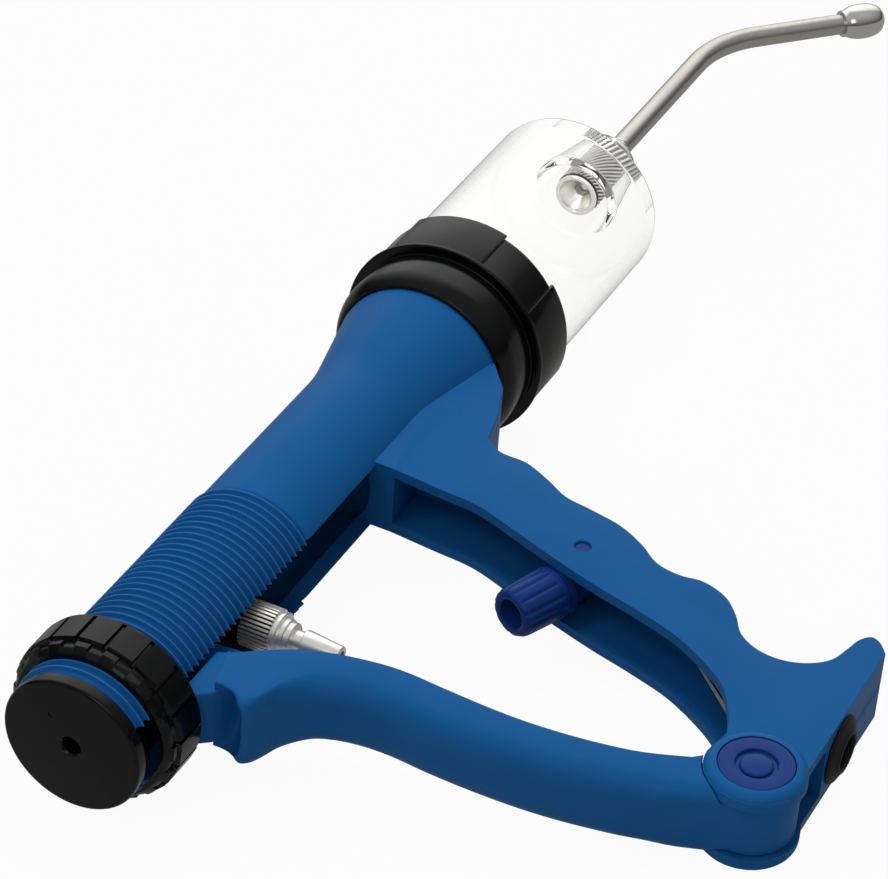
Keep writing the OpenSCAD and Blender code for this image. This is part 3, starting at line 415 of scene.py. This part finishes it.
def baked(bm, set_up):
    """A bmesh after one modifier, which set_up makes."""
    shape = placed(bm, "shaping")
    extra = set_up(shape)
    made = evaluated(shape)
    out = bmesh.new()
    out.from_mesh(made)
    for used in [shape] + extra:
        data = used.data
        bpy.data.objects.remove(used)
        bpy.data.meshes.remove(data)
    bpy.data.meshes.remove(made)
    return out


def combined(bm, tool, how):
    def set_up(shape):
        other = placed(tool, "tool")
        step = shape.modifiers.new("step", "BOOLEAN")
        step.operation, step.solver, step.object = how, "EXACT", other
        return [other]
    return baked(bm, set_up)


def fused(bm, *tools):
    for tool in tools:
        bm = combined(bm, tool, "UNION")
    return bm


def cut(bm, *tools):
    for tool in tools:
        bm = combined(bm, tool, "DIFFERENCE")
    return bm


def rolled(bm, width_at, widest):
    """Edges rounded by the width in mm that width_at gives for each of them."""
    weight = bm.edges.layers.float.new("bevel_weight_edge")
    for edge in bm.edges:
        edge[weight] = min(width_at(edge) / widest, 1.0)

    def set_up(shape):
        step = shape.modifiers.new("roll", "BEVEL")
        step.limit_method, step.width = "WEIGHT", widest * MM
        step.segments, step.profile = 5, 0.5
        return []
    return baked(bm, set_up)


def joined(*parts):
    """Several shapes kept as one piece."""
    bm = bmesh.new()
    for part in parts:
        mesh = bpy.data.meshes.new("part")
        part.to_mesh(mesh)
        part.free()
        bm.from_mesh(mesh)
        bpy.data.meshes.remove(mesh)
    return bm


def drawn_out(rings, sides, dip_at):
    """A round wall drawn out from ring to ring of (along, radius, share of the dip) in mm."""
    bm = bmesh.new()
    bmesh.ops.create_circle(bm, cap_ends=False, segments=sides, radius=MM)
    bm.transform(ALONG)
    verts, edges = bm.verts[:], bm.edges[:]
    for number, (along, radius, share) in enumerate(rings):
        if number:
            grown = bmesh.ops.extrude_edge_only(bm, edges=edges)["geom"]
            verts, edges = grown_verts(grown), far_edges(grown)
        for vert in verts:
            angle = math.atan2(vert.co.z, vert.co.y)
            reach = radius - share * dip_at(angle, number)
            vert.co = Vector((along, reach * math.cos(angle), reach * math.sin(angle))) * MM
    return tidy(bm)


def flutes(count, depth):
    """Dip of a wall with rounded flutes."""
    return lambda angle, number: depth * max(0.0, math.cos(count * angle)) ** 2


def finished(bm, name, finish, body, node, crease=38):
    """A bmesh made into a piece in place of a CAD node.

    The piece rides on a body; a tuple given as body is not used, and the piece then stays where it
    is.
    """
    piece = placed(bm, name)
    piece.data.shade_smooth()
    piece.data.set_sharp_from_angle(angle=math.radians(crease))
    piece.data.materials.append(finish)
    if isinstance(body, tuple):
        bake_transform(piece)
    else:
        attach(piece, body)
    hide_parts(node)


def at(x, y, z=0.0):
    return Matrix.Translation((x * MM, y * MM, z * MM))


UPRIGHT = Matrix.Rotation(-math.pi / 2, 4, "Y")
ALONG = Matrix.Rotation(math.pi / 2, 4, "Y")
DOWNWARD = Matrix.Rotation(-math.pi / 2, 4, "Z")
PIVOT = (53.4, -119.3)
GLAND_PINS = (97.5, -62)
# Half the width of the front handle and of the lever, and the ears' radius
HALF_WIDTH, EAR_R = 8.35, 10.2
AT_PIVOT = at(*PIVOT) @ UPRIGHT
AT_GLAND = at(*GLAND_PINS) @ Matrix.Rotation(math.radians(159), 4, "Z")
AT_FITTING = at(50, 0) @ DOWNWARD
AT_GROMMET = at(76, 0) @ DOWNWARD

# Body

GRIP_FRONT = [
    (120, -29.4), (117, -33.6), (116.5, -40), (113.5, -46.5), (110.4, -52), (109.3, -57.9),
    (107.6, -65.6), (104.3, -72), (100.3, -77.4), (99.2, -82.9), (99.8, -87.9), (97.8, -93.5),
    (93.6, -97.7), (88.6, -101.1), (85.9, -105.8), (85.5, -111), (87.2, -115.8), (90.6, -119.5),
    (95.5, -121.1), (99, -122), (101.3, -123.8), (100.6, -126), (98, -128.2),
]
GRIP_REAR = [
    (100, -16.8), (99, -27.6), (98, -37.9), (94.2, -49), (90.2, -60.3), (87, -70.6), (84.3, -80.8),
    (80.7, -91.3), (73.5, -102.7), (66.3, -107.9), (60, -110.4),
]
CHANNEL_FRONT = [
    (112, -25.6), (112.5, -35.9), (106, -51.3), (104.5, -64.1), (97.5, -75.6), (93.5, -85.3),
    (89, -94.2), (83, -101.3), (81.8, -107.7), (82.5, -116), (83.5, -125.2),
]
WEB = [(128.9, -27.3), (137.7, -24), (144.6, -18.6), (144.6, -12)]
THREAD_START, THREAD_PITCH, THREAD_TURNS = 3, 2.07, 32
# One ridge of the dose thread: share of the pitch, and radius
RIDGE = [
    (0.5, 14.7), (0.6, 14.8), (0.68, 15.06), (0.75, 15.34), (0.8, 15.49), (0.84, 15.54),
    (0.88, 15.54), (0.92, 15.49), (0.97, 15.34), (1.04, 15.06), (1.12, 14.8), (1.22, 14.7),
]


def barrel():
    points = [(THREAD_START, 12), (THREAD_START, 14.7)]
    points += [
        (THREAD_START + THREAD_PITCH * (ridge + along), radius)
        for ridge in range(THREAD_TURNS) for along, radius in RIDGE]
    points += [
        (70.28, 14.7), (71.3, 15), (122, 15, 4), (144, 19.5), (147, 19.5), (147, 20.6),
        (160, 20.6), (160, 12), (108, 12), (108, 5.3), (104, 5.3), (104, 12),
    ]
    return turn(points, steps=120)


def handle():
    """Both plates of the front handle in one, with the finger waves and the rounded web."""
    web_roll, edge_roll = 5.0, 1.1
    ear = [
        (PIVOT[0] + EAR_R * math.cos(math.radians(a)), PIVOT[1] + EAR_R * math.sin(math.radians(a)))
        for a in range(100, 250, 10)]
    bm = slab(
        [(100, -12)] + curve(GRIP_REAR) + [(53.4, -109.1)] + ear + [(53.4, -128.2)]
        + curve(GRIP_FRONT)[::-1] + WEB, -HALF_WIDTH, HALF_WIDTH)

    def rim(edge):
        a, b = (v.co / MM for v in edge.verts)
        if abs(a.z - b.z) > 1 or max(a.y, b.y) > -13:
            return 0.0
        return web_roll if min(a.x, b.x) > 119.9 else edge_roll
    return rolled(bm, rim, web_roll)


def body_shell():
    ears = turn(
        [(-9.75, 0), (-9.75, EAR_R, 2.2), (9.75, EAR_R, 2.2), (9.75, 0)], AT_PIVOT, 96, 6)
    shape = fused(barrel(), handle(), ears)
    top, foot, half = -17.5, -125.2, 6.05
    channel = slab(
        [(33, top), (112, top)] + [p for p in curve(CHANNEL_FRONT) if foot < p[1] < top]
        + [(83.5, foot), (68, foot), (68, -138.4), (33, -138.4)], -half, half)
    slot = block((1, -16.75, -7.7), (100, 0, 7.7))
    recesses = [drill(0, 3, 7.7, at(*PIVOT, side * 9.65 - 1.5) @ UPRIGHT) for side in (1, -1)]
    swivel = turn(
        [(-9, 0), (-9, 2.6), (-8.1, 1.7), (8.1, 1.7), (9, 2.6), (9, 0)],
        at(*GLAND_PINS) @ UPRIGHT, 40)
    wall_hole = drill(124, 130, 5.45, AT_GROMMET)
    parting = block((84.5, -128.4, -0.12), (101, -128.05, 0.12))
    shape = cut(shape, channel, slot, *recesses, swivel, wall_hole, parting)
    finished(shape, "body_shell", BODY_BLUE, "frame", "body")


# Lever

LEVER_REAR = [
    (39.9, -108.6), (36.4, -96), (34.3, -83.5), (33.6, -71.6), (33.7, -59.7), (34.4, -50.1),
    (33.6, -41.2), (30.9, -34.8), (26.4, -30.6), (22.4, -28.9), (20.3, -27.9), (19.45, -27.0),
    (19.4, -26.1), (20.1, -25.0), (21.5, -23.5), (22.2, -21.5), (22.3, -18.8),
]
LEVER_FRONT = [
    (31.5, -16.5), (38, -25.1), (41.5, -32.2), (43.7, -40.6), (44.6, -48.3), (44.1, -57.3),
    (43.6, -66.8), (43.6, -75.2), (44.3, -83.5), (45.5, -91.3), (47.4, -99), (50.9, -107.4),
]
# Rounding of the lever's rear edges, by height
LEVER_ROLL = [
    (-16, 0.4), (-23.5, 0.5), (-25.5, 1.6), (-27, 2.8), (-31, 4.2), (-37, 5.6), (-46, 6.4),
    (-94, 6.4), (-108, 4.5), (-120, 4.0)]


def across(points, y):
    """Where a line of points in mm stands at a height."""
    for (xa, ya), (xb, yb) in zip(points, points[1:]):
        if min(ya, yb) <= y <= max(ya, yb) and ya != yb:
            return xa + (xb - xa) * (y - ya) / (yb - ya)
    return points[0][0] if abs(points[0][1] - y) < abs(points[-1][1] - y) else points[-1][0]


def saddle_hollow(y, z):
    """Depth of the hollow between the tongue and the horn, deepest at half the lever's width."""
    depth, middle, half_height, half_width = 4.2, -23, 3.9, 8.9
    high = max(0.0, 1 - ((y - middle) / half_height) ** 2)
    wide = max(0.0, 1 - (z / half_width) ** 2)
    return depth * high * high * wide


def lever_grip():
    """The grip lofted from D-shaped rings, round at the rear."""
    top, foot, lip = -16.6, PIVOT[1], 1.2
    rear = [(44.2, foot)] + curve(LEVER_REAR) + [(31.3, top)]
    front = [(31.5, -16.4)] + curve(LEVER_FRONT) + [(62.6, foot)]
    saddle_rows = [-18.4 - 0.45 * i for i in range(41)]
    grip_rows = [-37 - 2.2 * i for i in range(37)]
    bm = bmesh.new()
    for y in [top, -17.5] + saddle_rows + grip_rows + [foot]:
        x0, x1 = across(rear, y), across(front, y)
        roll = across([(r, h) for h, r in LEVER_ROLL], y)
        depth, lip_depth = min(roll, 0.46 * (x1 - x0)), min(lip, 0.3 * (x1 - x0))
        ring = []
        for cx, cz, rx, rz, first in (
                (x0 + depth, roll - HALF_WIDTH, depth, roll, 180),
                (x1 - lip_depth, lip - HALF_WIDTH, lip_depth, lip, 270),
                (x1 - lip_depth, HALF_WIDTH - lip, lip_depth, lip, 0),
                (x0 + depth, HALF_WIDTH - roll, depth, roll, 90)):
            for k in range(9):
                a = math.radians(first + 90 * k / 8)
                ring.append((cx + rx * math.cos(a), cz + rz * math.sin(a)))
        for k in range(1, 16):
            z = (HALF_WIDTH - roll) * (1 - k / 8)
            ring.append((x0 + saddle_hollow(y, z), z))
        ring = [bm.verts.new((x * MM, y * MM, z * MM)) for x, z in ring]
        for a, b in zip(ring, ring[1:] + ring[:1]):
            bm.edges.new((a, b))
    bmesh.ops.bridge_loops(bm, edges=bm.edges[:])
    bmesh.ops.holes_fill(bm, edges=[e for e in bm.edges if e.is_boundary], sides=0)
    return tidy(bm)


def lever_tongue():
    """The tongue that rests on the dose ring, and the narrow neck above it."""
    tongue = slab([
        (18.3, -13.5), (18.3, -16), (21.1, -19.3), (26.5, -22), (26.5, -26.8), (37.6, -26.8),
        (34.1, -17.9), (32.3, -13.5)], -6.5, 6.5)
    neck = slab([
        (39.3, -23.6), (38.92, -12.98), (37.57, -4.59), (32.43, -5.41), (33.78, -13.8),
        (30.3, -25.1)], -2.5, 2.5)
    for bm in (tongue, neck):
        soften(bm, [e for e in bm.edges if e.calc_face_angle(0) > 0.5], 0.5)
    return [tongue, neck]


def squeeze_lever():
    wall, hub_half, bay_half, foot, top = 3.2, 5.75, 2.98, -102.6, -30.9
    head = turn([(-2.5, 0), (-2.5, 4, 0.5), (2.5, 4, 0.5), (2.5, 0)], at(35, -5) @ UPRIGHT, 48)
    hub = turn(
        [(-hub_half, 0), (-hub_half, 9.2, 0.4), (hub_half, 9.2, 0.4), (hub_half, 0)], AT_PIVOT, 96)
    reliefs = [
        drill(hub_half, 9.5, 10.5, AT_PIVOT, 96), drill(-9.5, -hub_half, 10.5, AT_PIVOT, 96)]
    shape = cut(lever_grip(), *reliefs)
    shape = fused(shape, hub, *lever_tongue(), head)
    inside = [(x + wall, y) for x, y in curve(LEVER_REAR)]
    channel = slab(
        [(x + 35, y) for x, y in curve(LEVER_FRONT) if foot < y < top]
        + [p for p in inside if foot < p[1] < top], -4.5, 4.5)
    bay = slab(
        [p for p in inside if p[1] < -96.6]
        + [(71.8, -96.6), (71.8, -125.4), (53.4, -125.4), (47.3, -119.3)], -bay_half, bay_half)
    bay_round = drill(-bay_half, bay_half, 6.1, AT_PIVOT, 48)
    pin_hole = drill(-9, 9, 3.36, AT_PIVOT, 48)
    shape = cut(shape, channel, bay, bay_round, pin_hole)
    finished(shape, "squeeze_lever", BLUE, "lever", "lever")


# Rear end and collar


def end_cap():
    shape = turn([
        (0.35, 2), (0, 2.35), (0, 15.1, 0.7), (3, 15.1, 0.25), (3, 11.95), (8, 11.95, 0.4), (8, 2)],
        None, 144, 6)
    mark = turn([(-1, 0), (-1, 0.6, 0.2), (0.25, 0.6, 0.2), (0.25, 0)], at(0, 4.4, 6.1), 24)
    finished(cut(shape, mark), "rear_cap", BLACK, "frame", "end_cap")


def ring_pads(angle, number):
    """Dip of the dose ring's skin: blocks round the rear end, then flat pads between grooves."""
    pad_turn, first_pad, groove_half, block_end, rear_rings = 20, 15, 1.3, 11.2, 6
    spot, half = (math.degrees(angle) - first_pad) % pad_turn, pad_turn / 2
    if number < rear_rings:
        return 0.0 if groove_half <= spot <= block_end else 0.55
    if spot < groove_half or spot > pad_turn - groove_half:
        return 0.75
    flat = math.cos(math.radians(half - groove_half)) / math.cos(math.radians(spot - half))
    return 9.4 * (1 - flat)


def dose_ring():
    bm = drawn_out([
        (7, 15.85, 0), (7, 16.6, 0), (7.2, 16.9, 0), (8.0, 17.8, 0.6), (8.3, 18.1, 1),
        (9.6, 18.1, 1), (9.8, 17.8, 0.4), (10.0, 18.4, 0.7), (10.3, 18.75, 1), (17.3, 18.8, 1),
        (17.5, 18.6, 0), (17.8, 18.6, 0), (18, 18.4, 0), (18, 15.85, 0), (7, 15.85, 0)],
        720, ring_pads)
    finished(bm, "dose_setting_ring", BLACK, "dose_ring", "dose_ring", crease=25)


def collar():
    base = turn([
        (147, 20.65), (147, 19.8), (145.3, 19.8), (145.2, 20.3, 0.3), (147.2, 22.2, 2.4),
        (155.4, 22.2, 0.3), (155.4, 21.8, 0.3), (157.05, 21.8, 0.3), (157.05, 24.2, 0.4),
        (158.3, 24.2, 0.35), (158.5, 23.2, 0.3), (170.4, 23.2, 0.6), (171.5, 22.4, 0.3),
        (171.5, 21.65), (166.3, 21.65), (166.3, 22.35), (160, 22.35), (160, 20.65)], None, 192, 6)
    pads, pad_turn = [], 54
    for quarter in (-90, 0, 90, 180):
        bm = bmesh.new()
        faces = profile(bm, [(157.9, 22.8), (157.9, 24.2), (171.5, 24.2, 1.2), (171.5, 22.8)], 5)
        bm.transform(Matrix.Rotation(math.radians(quarter + pad_turn), 4, "X"))
        bmesh.ops.spin(
            bm, geom=bm.verts[:] + bm.edges[:] + faces, cent=(0, 0, 0), axis=(1, 0, 0),
            dvec=(0, 0, 0), angle=math.radians(pad_turn), steps=30, use_merge=False,
            use_duplicate=False)
        tidy(bm)
        soften(bm, [e for e in bm.edges if e.calc_face_angle(0) > 0.8], 0.5)
        pads.append(bm)
    shape = fused(base, joined(*pads))
    finished(shape, "collar_grip_nut", BLACK, "frame", "collar_nut")


# Cylinder, outlet and nozzle


def dosing_cylinder():
    wall = turn([
        (161, 19.2), (161, 22.3), (166, 22.3), (166, 21.6), (224.6, 21.6, 1.0), (224.6, 10.6, 0.8),
        (244.1, 7.4, 0.6), (244.1, 3.45), (241.1, 3.45), (241.1, 5.9, 0.3), (222.6, 9.1, 1.2),
        (222.6, 19.2, 1.4)], None, 160, 6)
    finished(wall, "dosing_cylinder", CLEAR, "frame", "cylinder")


def outlet_valve():
    """The valve's knurled body, its bell mouth and its spigot."""
    teeth, rows, depth = 34, 14, 0.4
    mouth = [
        (229.2, 1.6, 0), (228.4, 1.6, 0), (226.4, 3.7, 0), (225.6, 4.1, 0), (225.3, 4.2, 0),
        (225.2, 4.3, 0), (225.2, 5.0, 0), (225.4, 5.2, 0), (225.9, 5.2, 0), (225.95, 4.7, 0),
        (226.5, 4.7, 0)]
    knurls = [(226.6 + 12.8 * k / rows, 5.5, 1) for k in range(rows + 1)]
    spigot = [
        (239.7, 5.3, 0), (240.4, 5.3, 0), (240.6, 5.1, 0), (240.6, 3.4, 0), (247.3, 3.4, 0),
        (247.6, 3.2, 0), (247.6, 2.65, 0), (240.1, 2.65, 0), (240.1, 3.2, 0), (230.7, 3.2, 0),
        (230.7, 1.6, 0), (229.2, 1.6, 0)]

    def diamonds(angle, number):
        return depth * ((round(angle * teeth / math.pi) + number) % 2)
    bm = drawn_out(mouth + knurls + spigot, 2 * teeth, diamonds)
    finished(
        bm, "outlet_valve", VALVE_KNURLS, "frame", "outlet_valve_body", crease=25)


def nozzle_nut():
    half_flats, height = 4.5, 3.25
    bm = bmesh.new()
    bmesh.ops.create_circle(
        bm, cap_ends=True, segments=6, radius=half_flats * MM / math.cos(math.radians(30)))
    raised(bm, height)
    bm.transform(at(244.1, 0) @ ALONG)
    soften(bm, bm.edges[:], 0.3)
    bm = cut(bm, drill(243, 249, 3.45, None, 48))
    finished(bm, "nozzle_lock_nut", NICKEL, "frame", "nozzle_nut")


TUBE_START, BEND_X, BEND_R, BEND = 240.1, 297.6, 30.0, math.radians(42)


def nozzle_tube():
    outer_r, wall, tail = 2.6, 0.8, 30
    bm = bmesh.new()
    bmesh.ops.create_circle(bm, cap_ends=False, segments=48, radius=outer_r * MM)
    bm.transform(at(TUBE_START, 0) @ ALONG)

    def grow(edges, vec):
        grown = bmesh.ops.extrude_edge_only(bm, edges=edges)["geom"]
        bmesh.ops.translate(bm, verts=grown_verts(grown), vec=vec)
        return far_edges(grown)
    end = grow(bm.edges[:], ((BEND_X - TUBE_START) * MM, 0, 0))
    bend = bmesh.ops.spin(
        bm, geom=end + list(dict.fromkeys(v for e in end for v in e.verts)),
        cent=(BEND_X * MM, -BEND_R * MM, 0), axis=(0, 0, 1), dvec=(0, 0, 0), angle=-BEND, steps=32,
        use_merge=False, use_duplicate=False)
    tip = [e for e in bend["geom_last"] if isinstance(e, bmesh.types.BMEdge)]
    grow(tip, (tail * MM * math.cos(BEND), -tail * MM * math.sin(BEND), 0))
    tidy(bm)
    bmesh.ops.solidify(bm, geom=bm.faces[:], thickness=wall * MM)
    finished(tidy(bm), "nozzle_bent_tube", TUBE, "frame", "nozzle_tube")


def nozzle_tip():
    bend_end = at(BEND_X + BEND_R * math.sin(BEND), BEND_R * (math.cos(BEND) - 1))
    place = bend_end @ Matrix.Rotation(-BEND, 4, "Z") @ at(23.84, 0)
    half_length, widest, rear_rim, front_rim = 5.6, 4.48, 3.4, 2.2
    olive = []
    for degrees in range(0, 181, 8):
        side = math.radians(degrees)
        reach = max(widest * math.sqrt(math.sin(side)), rear_rim if degrees < 90 else front_rim)
        olive.append((half_length * (1 - math.cos(side)), reach))
    bore = [(11.2, front_rim), (11.2, 1.8), (6.16, 1.8), (6.16, 2.65)]
    finished(
        turn([(0, 2.65)] + olive + bore, place, 72),
        "nozzle_olive", NICKEL, "frame", "nozzle_tip")


# Supply side


def gland_nut():
    bm = drawn_out([
        (7.6, 4.3, 0), (7.6, 5.5, 0), (7.8, 5.7, 0), (8.9, 5.7, 0), (9.3, 5.68, 1),
        (17.6, 5.45, 1), (18.5, 5.3, 0.9), (19.2, 4.9, 0.4), (19.55, 4.3, 0), (19.6, 3.9, 0),
        (19.5, 3.5, 0), (19.2, 3.2, 0), (13.7, 3.2, 0), (13.7, 4.3, 0), (7.6, 4.3, 0)],
        120, flutes(12, 0.4))
    bm.transform(AT_GLAND)
    finished(bm, "gland_clamp_nut", DARK_BLUE, "gland", "gland_nut")


KNURL_STEPS = 8
UNION_SIDES = 34 * KNURL_STEPS


def knurl(angle, number):
    """Narrow grooves between straight flat-topped knurls."""
    step = round(math.degrees(angle) / 360 * UNION_SIDES) % KNURL_STEPS
    return 0.6 if step in (0, 1, 7) else 0.0


def hose_fitting():
    nut = drawn_out([
        (10.8, 3.75, 0), (10.8, 4.55, 0.3), (11.1, 5.0, 1), (17.4, 5.0, 1), (17.7, 4.75, 0.3),
        (17.75, 4.4, 0), (18.1, 4.4, 0), (18.2, 4.7, 0), (18.7, 4.7, 0), (18.9, 4.5, 0),
        (18.9, 3.75, 0), (20.0, 3.75, 0), (20.2, 3.55, 0), (20.2, 3.35, 0), (21.3, 3.35, 0),
        (21.5, 3.15, 0), (21.5, 2.95, 0), (16.4, 2.95, 0), (16.4, 3.75, 0), (10.8, 3.75, 0)],
        UNION_SIDES, knurl)
    nut.transform(AT_FITTING)
    finished(nut, "hose_union_nut", UNION_PLATE, "drive", "hose_nut", crease=25)
    tail = turn([
        (15, 1.3), (15, 3.65), (16.4, 3.65), (16.4, 2.9), (21.5, 2.9, 0.2), (21.5, 2.2),
        (23.7, 2.2), (23.7, 2.9, 0.25), (25.6, 2.75), (32, 2.2, 0.3), (32, 1.3)], AT_FITTING, 64)
    finished(tail, "hose_barb", UNION_PLATE, "drive", "hose_tail")


def grommet():
    ring = turn([
        (124.2, 3.6, 0.3), (124.2, 6, 0.4), (125.2, 6), (125.2, 5.4), (128.2, 5.4),
        (128.2, 7.2, 0.3), (128.9, 7.2, 0.6), (129.9, 4.9, 0.6), (130.2, 4.5, 0.2),
        (130.2, 3.9, 0.2), (129.7, 3.6, 0.2)], AT_GROMMET, 72, 6)
    finished(ring, "wall_grommet", RUBBER, "frame", "hose_grommet")


# Pivot and spring


def pivot():
    rim = [
        (8.15, 3.35), (8.15, 7.55), (9.65, 7.55, 0.3), (9.65, 4.25, 0.2), (8.85, 4.1, 0.2),
        (8.85, 3.35)]
    caps = [
        turn(rim, at(*PIVOT) @ Matrix.Rotation(-side * math.pi / 2, 4, "Y"), 72)
        for side in (1, -1)]
    finished(
        joined(*caps), "pivot_cover_caps", DARK_BLUE, "frame", "pivot_caps")
    finished(
        turn([(-9.75, 0), (-9.45, 3.3, 0.5), (9.45, 3.3, 0.5), (9.75, 0)], AT_PIVOT, 64),
        "pivot_button_pin", DARK_BLUE, "frame", "pivot_pin")


def return_spring():
    """The torsion spring's wire: a leg along the lever, the curls and a leg along the handle."""
    radius, wire_r, pitch, steps = 4.9, 0.6, 1.65, 90
    to_lever = Vector((39.87, -87.75)) - Vector(PIVOT)
    to_handle = Vector((91.4, -86.4)) - Vector(PIVOT)
    legs = [math.sqrt(leg.length_squared - radius ** 2) for leg in (to_lever, to_handle)]
    start = math.atan2(to_lever.y, to_lever.x) + math.atan2(legs[0], radius)
    end = math.atan2(to_handle.y, to_handle.x) - math.atan2(legs[1], radius) + 3 * TURN
    rise = (end - start) / TURN * pitch

    def spot(a, out=0.0):
        return Vector((
            PIVOT[0] + radius * math.cos(a) - out * math.sin(a),
            PIVOT[1] + radius * math.sin(a) + out * math.cos(a),
            (a - start) / (end - start) * rise - rise / 2)) * MM
    points = [spot(start, -legs[0] * k / 4) for k in (4, 3, 2, 1)]
    points += [spot(start + (end - start) * k / steps) for k in range(steps + 1)]
    points += [spot(end, legs[1] * k / 4) for k in (1, 2, 3, 4)]
    data = bpy.data.curves.new("return_spring", "CURVE")
    data.dimensions, data.use_fill_caps = "3D", True
    data.bevel_depth, data.bevel_resolution = wire_r * MM, 3
    line = data.splines.new("POLY")
    line.points.add(len(points) - 1)
    for knot, point in zip(line.points, points):
        knot.co = (*point, 1)
    wire = bpy.data.objects.new("return_spring", data)
    bpy.context.scene.collection.objects.link(wire)
    mesh = evaluated(wire)
    bpy.data.objects.remove(wire)
    bm = bmesh.new()
    bm.from_mesh(mesh)
    curls = [((PIVOT[0] + side) * MM, PIVOT[1] * MM, 0.0) for side in (4.2, -4.2)]
    finished(
        bm, "return_spring", SPRING_WIRE, ("frame", "lever", *curls),
        "lever_spring")


body_shell()
squeeze_lever()
end_cap()
dose_ring()
collar()
dosing_cylinder()
outlet_valve()
nozzle_nut()
nozzle_tube()
nozzle_tip()
gland_nut()
hose_fitting()
grommet()
pivot()
return_spring()

# CAD nodes that stay, in their finishes

CAD_FINISHES = {
    "cylinder_seal": RUBBER, "rod_guide": WHITE, "outlet_valve_washer": RUBBER,
    "outlet_ball": STEEL, "outlet_spring": SPRING_WIRE, "gland_body": DARK_BLUE,
    "drive_block": MATT_BLACK, "piston_rod": TUBE, "piston": BLACK, "piston_seals": RUBBER,
    "inlet_ball": STEEL, "inlet_spring": SPRING_WIRE, "inlet_cage": WHITE,
}
for name, finish in CAD_FINISHES.items():
    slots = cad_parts[name].data.materials
    slots.clear()
    slots.append(finish)

# Floor and light


def floor_finish():
    """White to the eye and through the clear plastic, pale where it mirrors, matt for shadows."""
    made = Finish("white_floor")
    camera, mirror, through = (made.ray(kind) for kind in ("Camera", "Glossy", "Transmission"))
    share = camera.most(mirror.most(through)) * 0.95
    tone = made.grain(made.spot(), 3.0, 1.0)
    grey = made.mix(tone, (0.58, 0.58, 0.58, 1), (0.6, 0.6, 0.6, 1))
    matt = made.node("BsdfDiffuse", None, {"Color": grey})
    pale = made.mix(mirror * (1.0 - through), (1, 1, 1, 1), (0.33, 0.33, 0.32, 1))
    glow = made.node("Emission", None, {"Color": pale, "Strength": 1.0})
    return made.close(made.node("MixShader", None, {0: share, 1: matt, 2: glow}))


def stage():
    """The floor under the drencher, which lies on its side and so a little tilted."""
    up, depth, reach = Vector((0.0361, 0.0809, 0.9961)).normalized(), 0.0184, 3.0
    side = up.cross(Vector((0, 1, 0))).normalized()
    ahead = up.cross(side)
    middle = Vector((0.15, -0.05, 0))
    middle += up * (-depth - up.dot(middle))
    tilt = Matrix([(side[i], ahead[i], up[i]) for i in range(3)]).to_4x4()
    bm = bmesh.new()
    bmesh.ops.create_grid(bm, x_segments=1, y_segments=1, size=reach)
    bm.transform(Matrix.Translation(middle) @ tilt)
    bmesh.ops.recalc_face_normals(bm, faces=bm.faces[:])
    floor = placed(bm, "white_floor")
    floor.data.materials.append(floor_finish())


def lamp(name, spot, aim, size, power, mirrored=False):
    """A round soft lamp, which glossy skins show only where it is mirrored."""
    data = bpy.data.lights.new(name, "AREA")
    data.shape, data.size, data.energy = "DISK", size, power
    light = bpy.data.objects.new(name, data)
    light.location, light.visible_glossy = spot, mirrored
    light.rotation_euler = (Vector(aim) - Vector(spot)).to_track_quat("-Z", "Y").to_euler()
    bpy.context.scene.collection.objects.link(light)


def room():
    """A white room that mirrors as bright overhead and dim round the sides."""
    made = Finish("studio", "worlds")
    along, aside, height = made.axes(made.node("TexCoord", out="Generated"))
    window = made.band(0.76 * along + 0.38 * aside + 0.52 * height, 0.66, 0.96, 0.0, 1.2)
    dim = made.band(height, 0.1, 0.85, 0.06, 0.5) + window
    even = 0.27
    plain = even + made.ray("Glossy") * (dim - even)
    clear = made.ray("Camera").most(made.ray("Transmission"))
    strength = plain + clear * (1.0 - plain)
    back = made.node("Background", None, {"Color": (1, 1, 1, 1), "Strength": strength})
    bpy.context.scene.world = made.close(back, "OutputWorld")
    lamp("overhead_softbox", (0.3, 0.25, 1.1), (0.12, -0.05, 0), 0.7, 8.4)
    lamp("near_fill", (-0.9, -0.35, 0.9), (0.1, -0.05, 0), 0.8, 1.8, True)
    lamp("rear_softbox", (-0.45, 0.35, 0.75), (0.12, -0.02, 0), 0.46, 1.6)
    lamp("side_fill", (0.5, -1.1, 0.7), (0.12, -0.05, 0), 0.4, 1.0)


stage()
room()
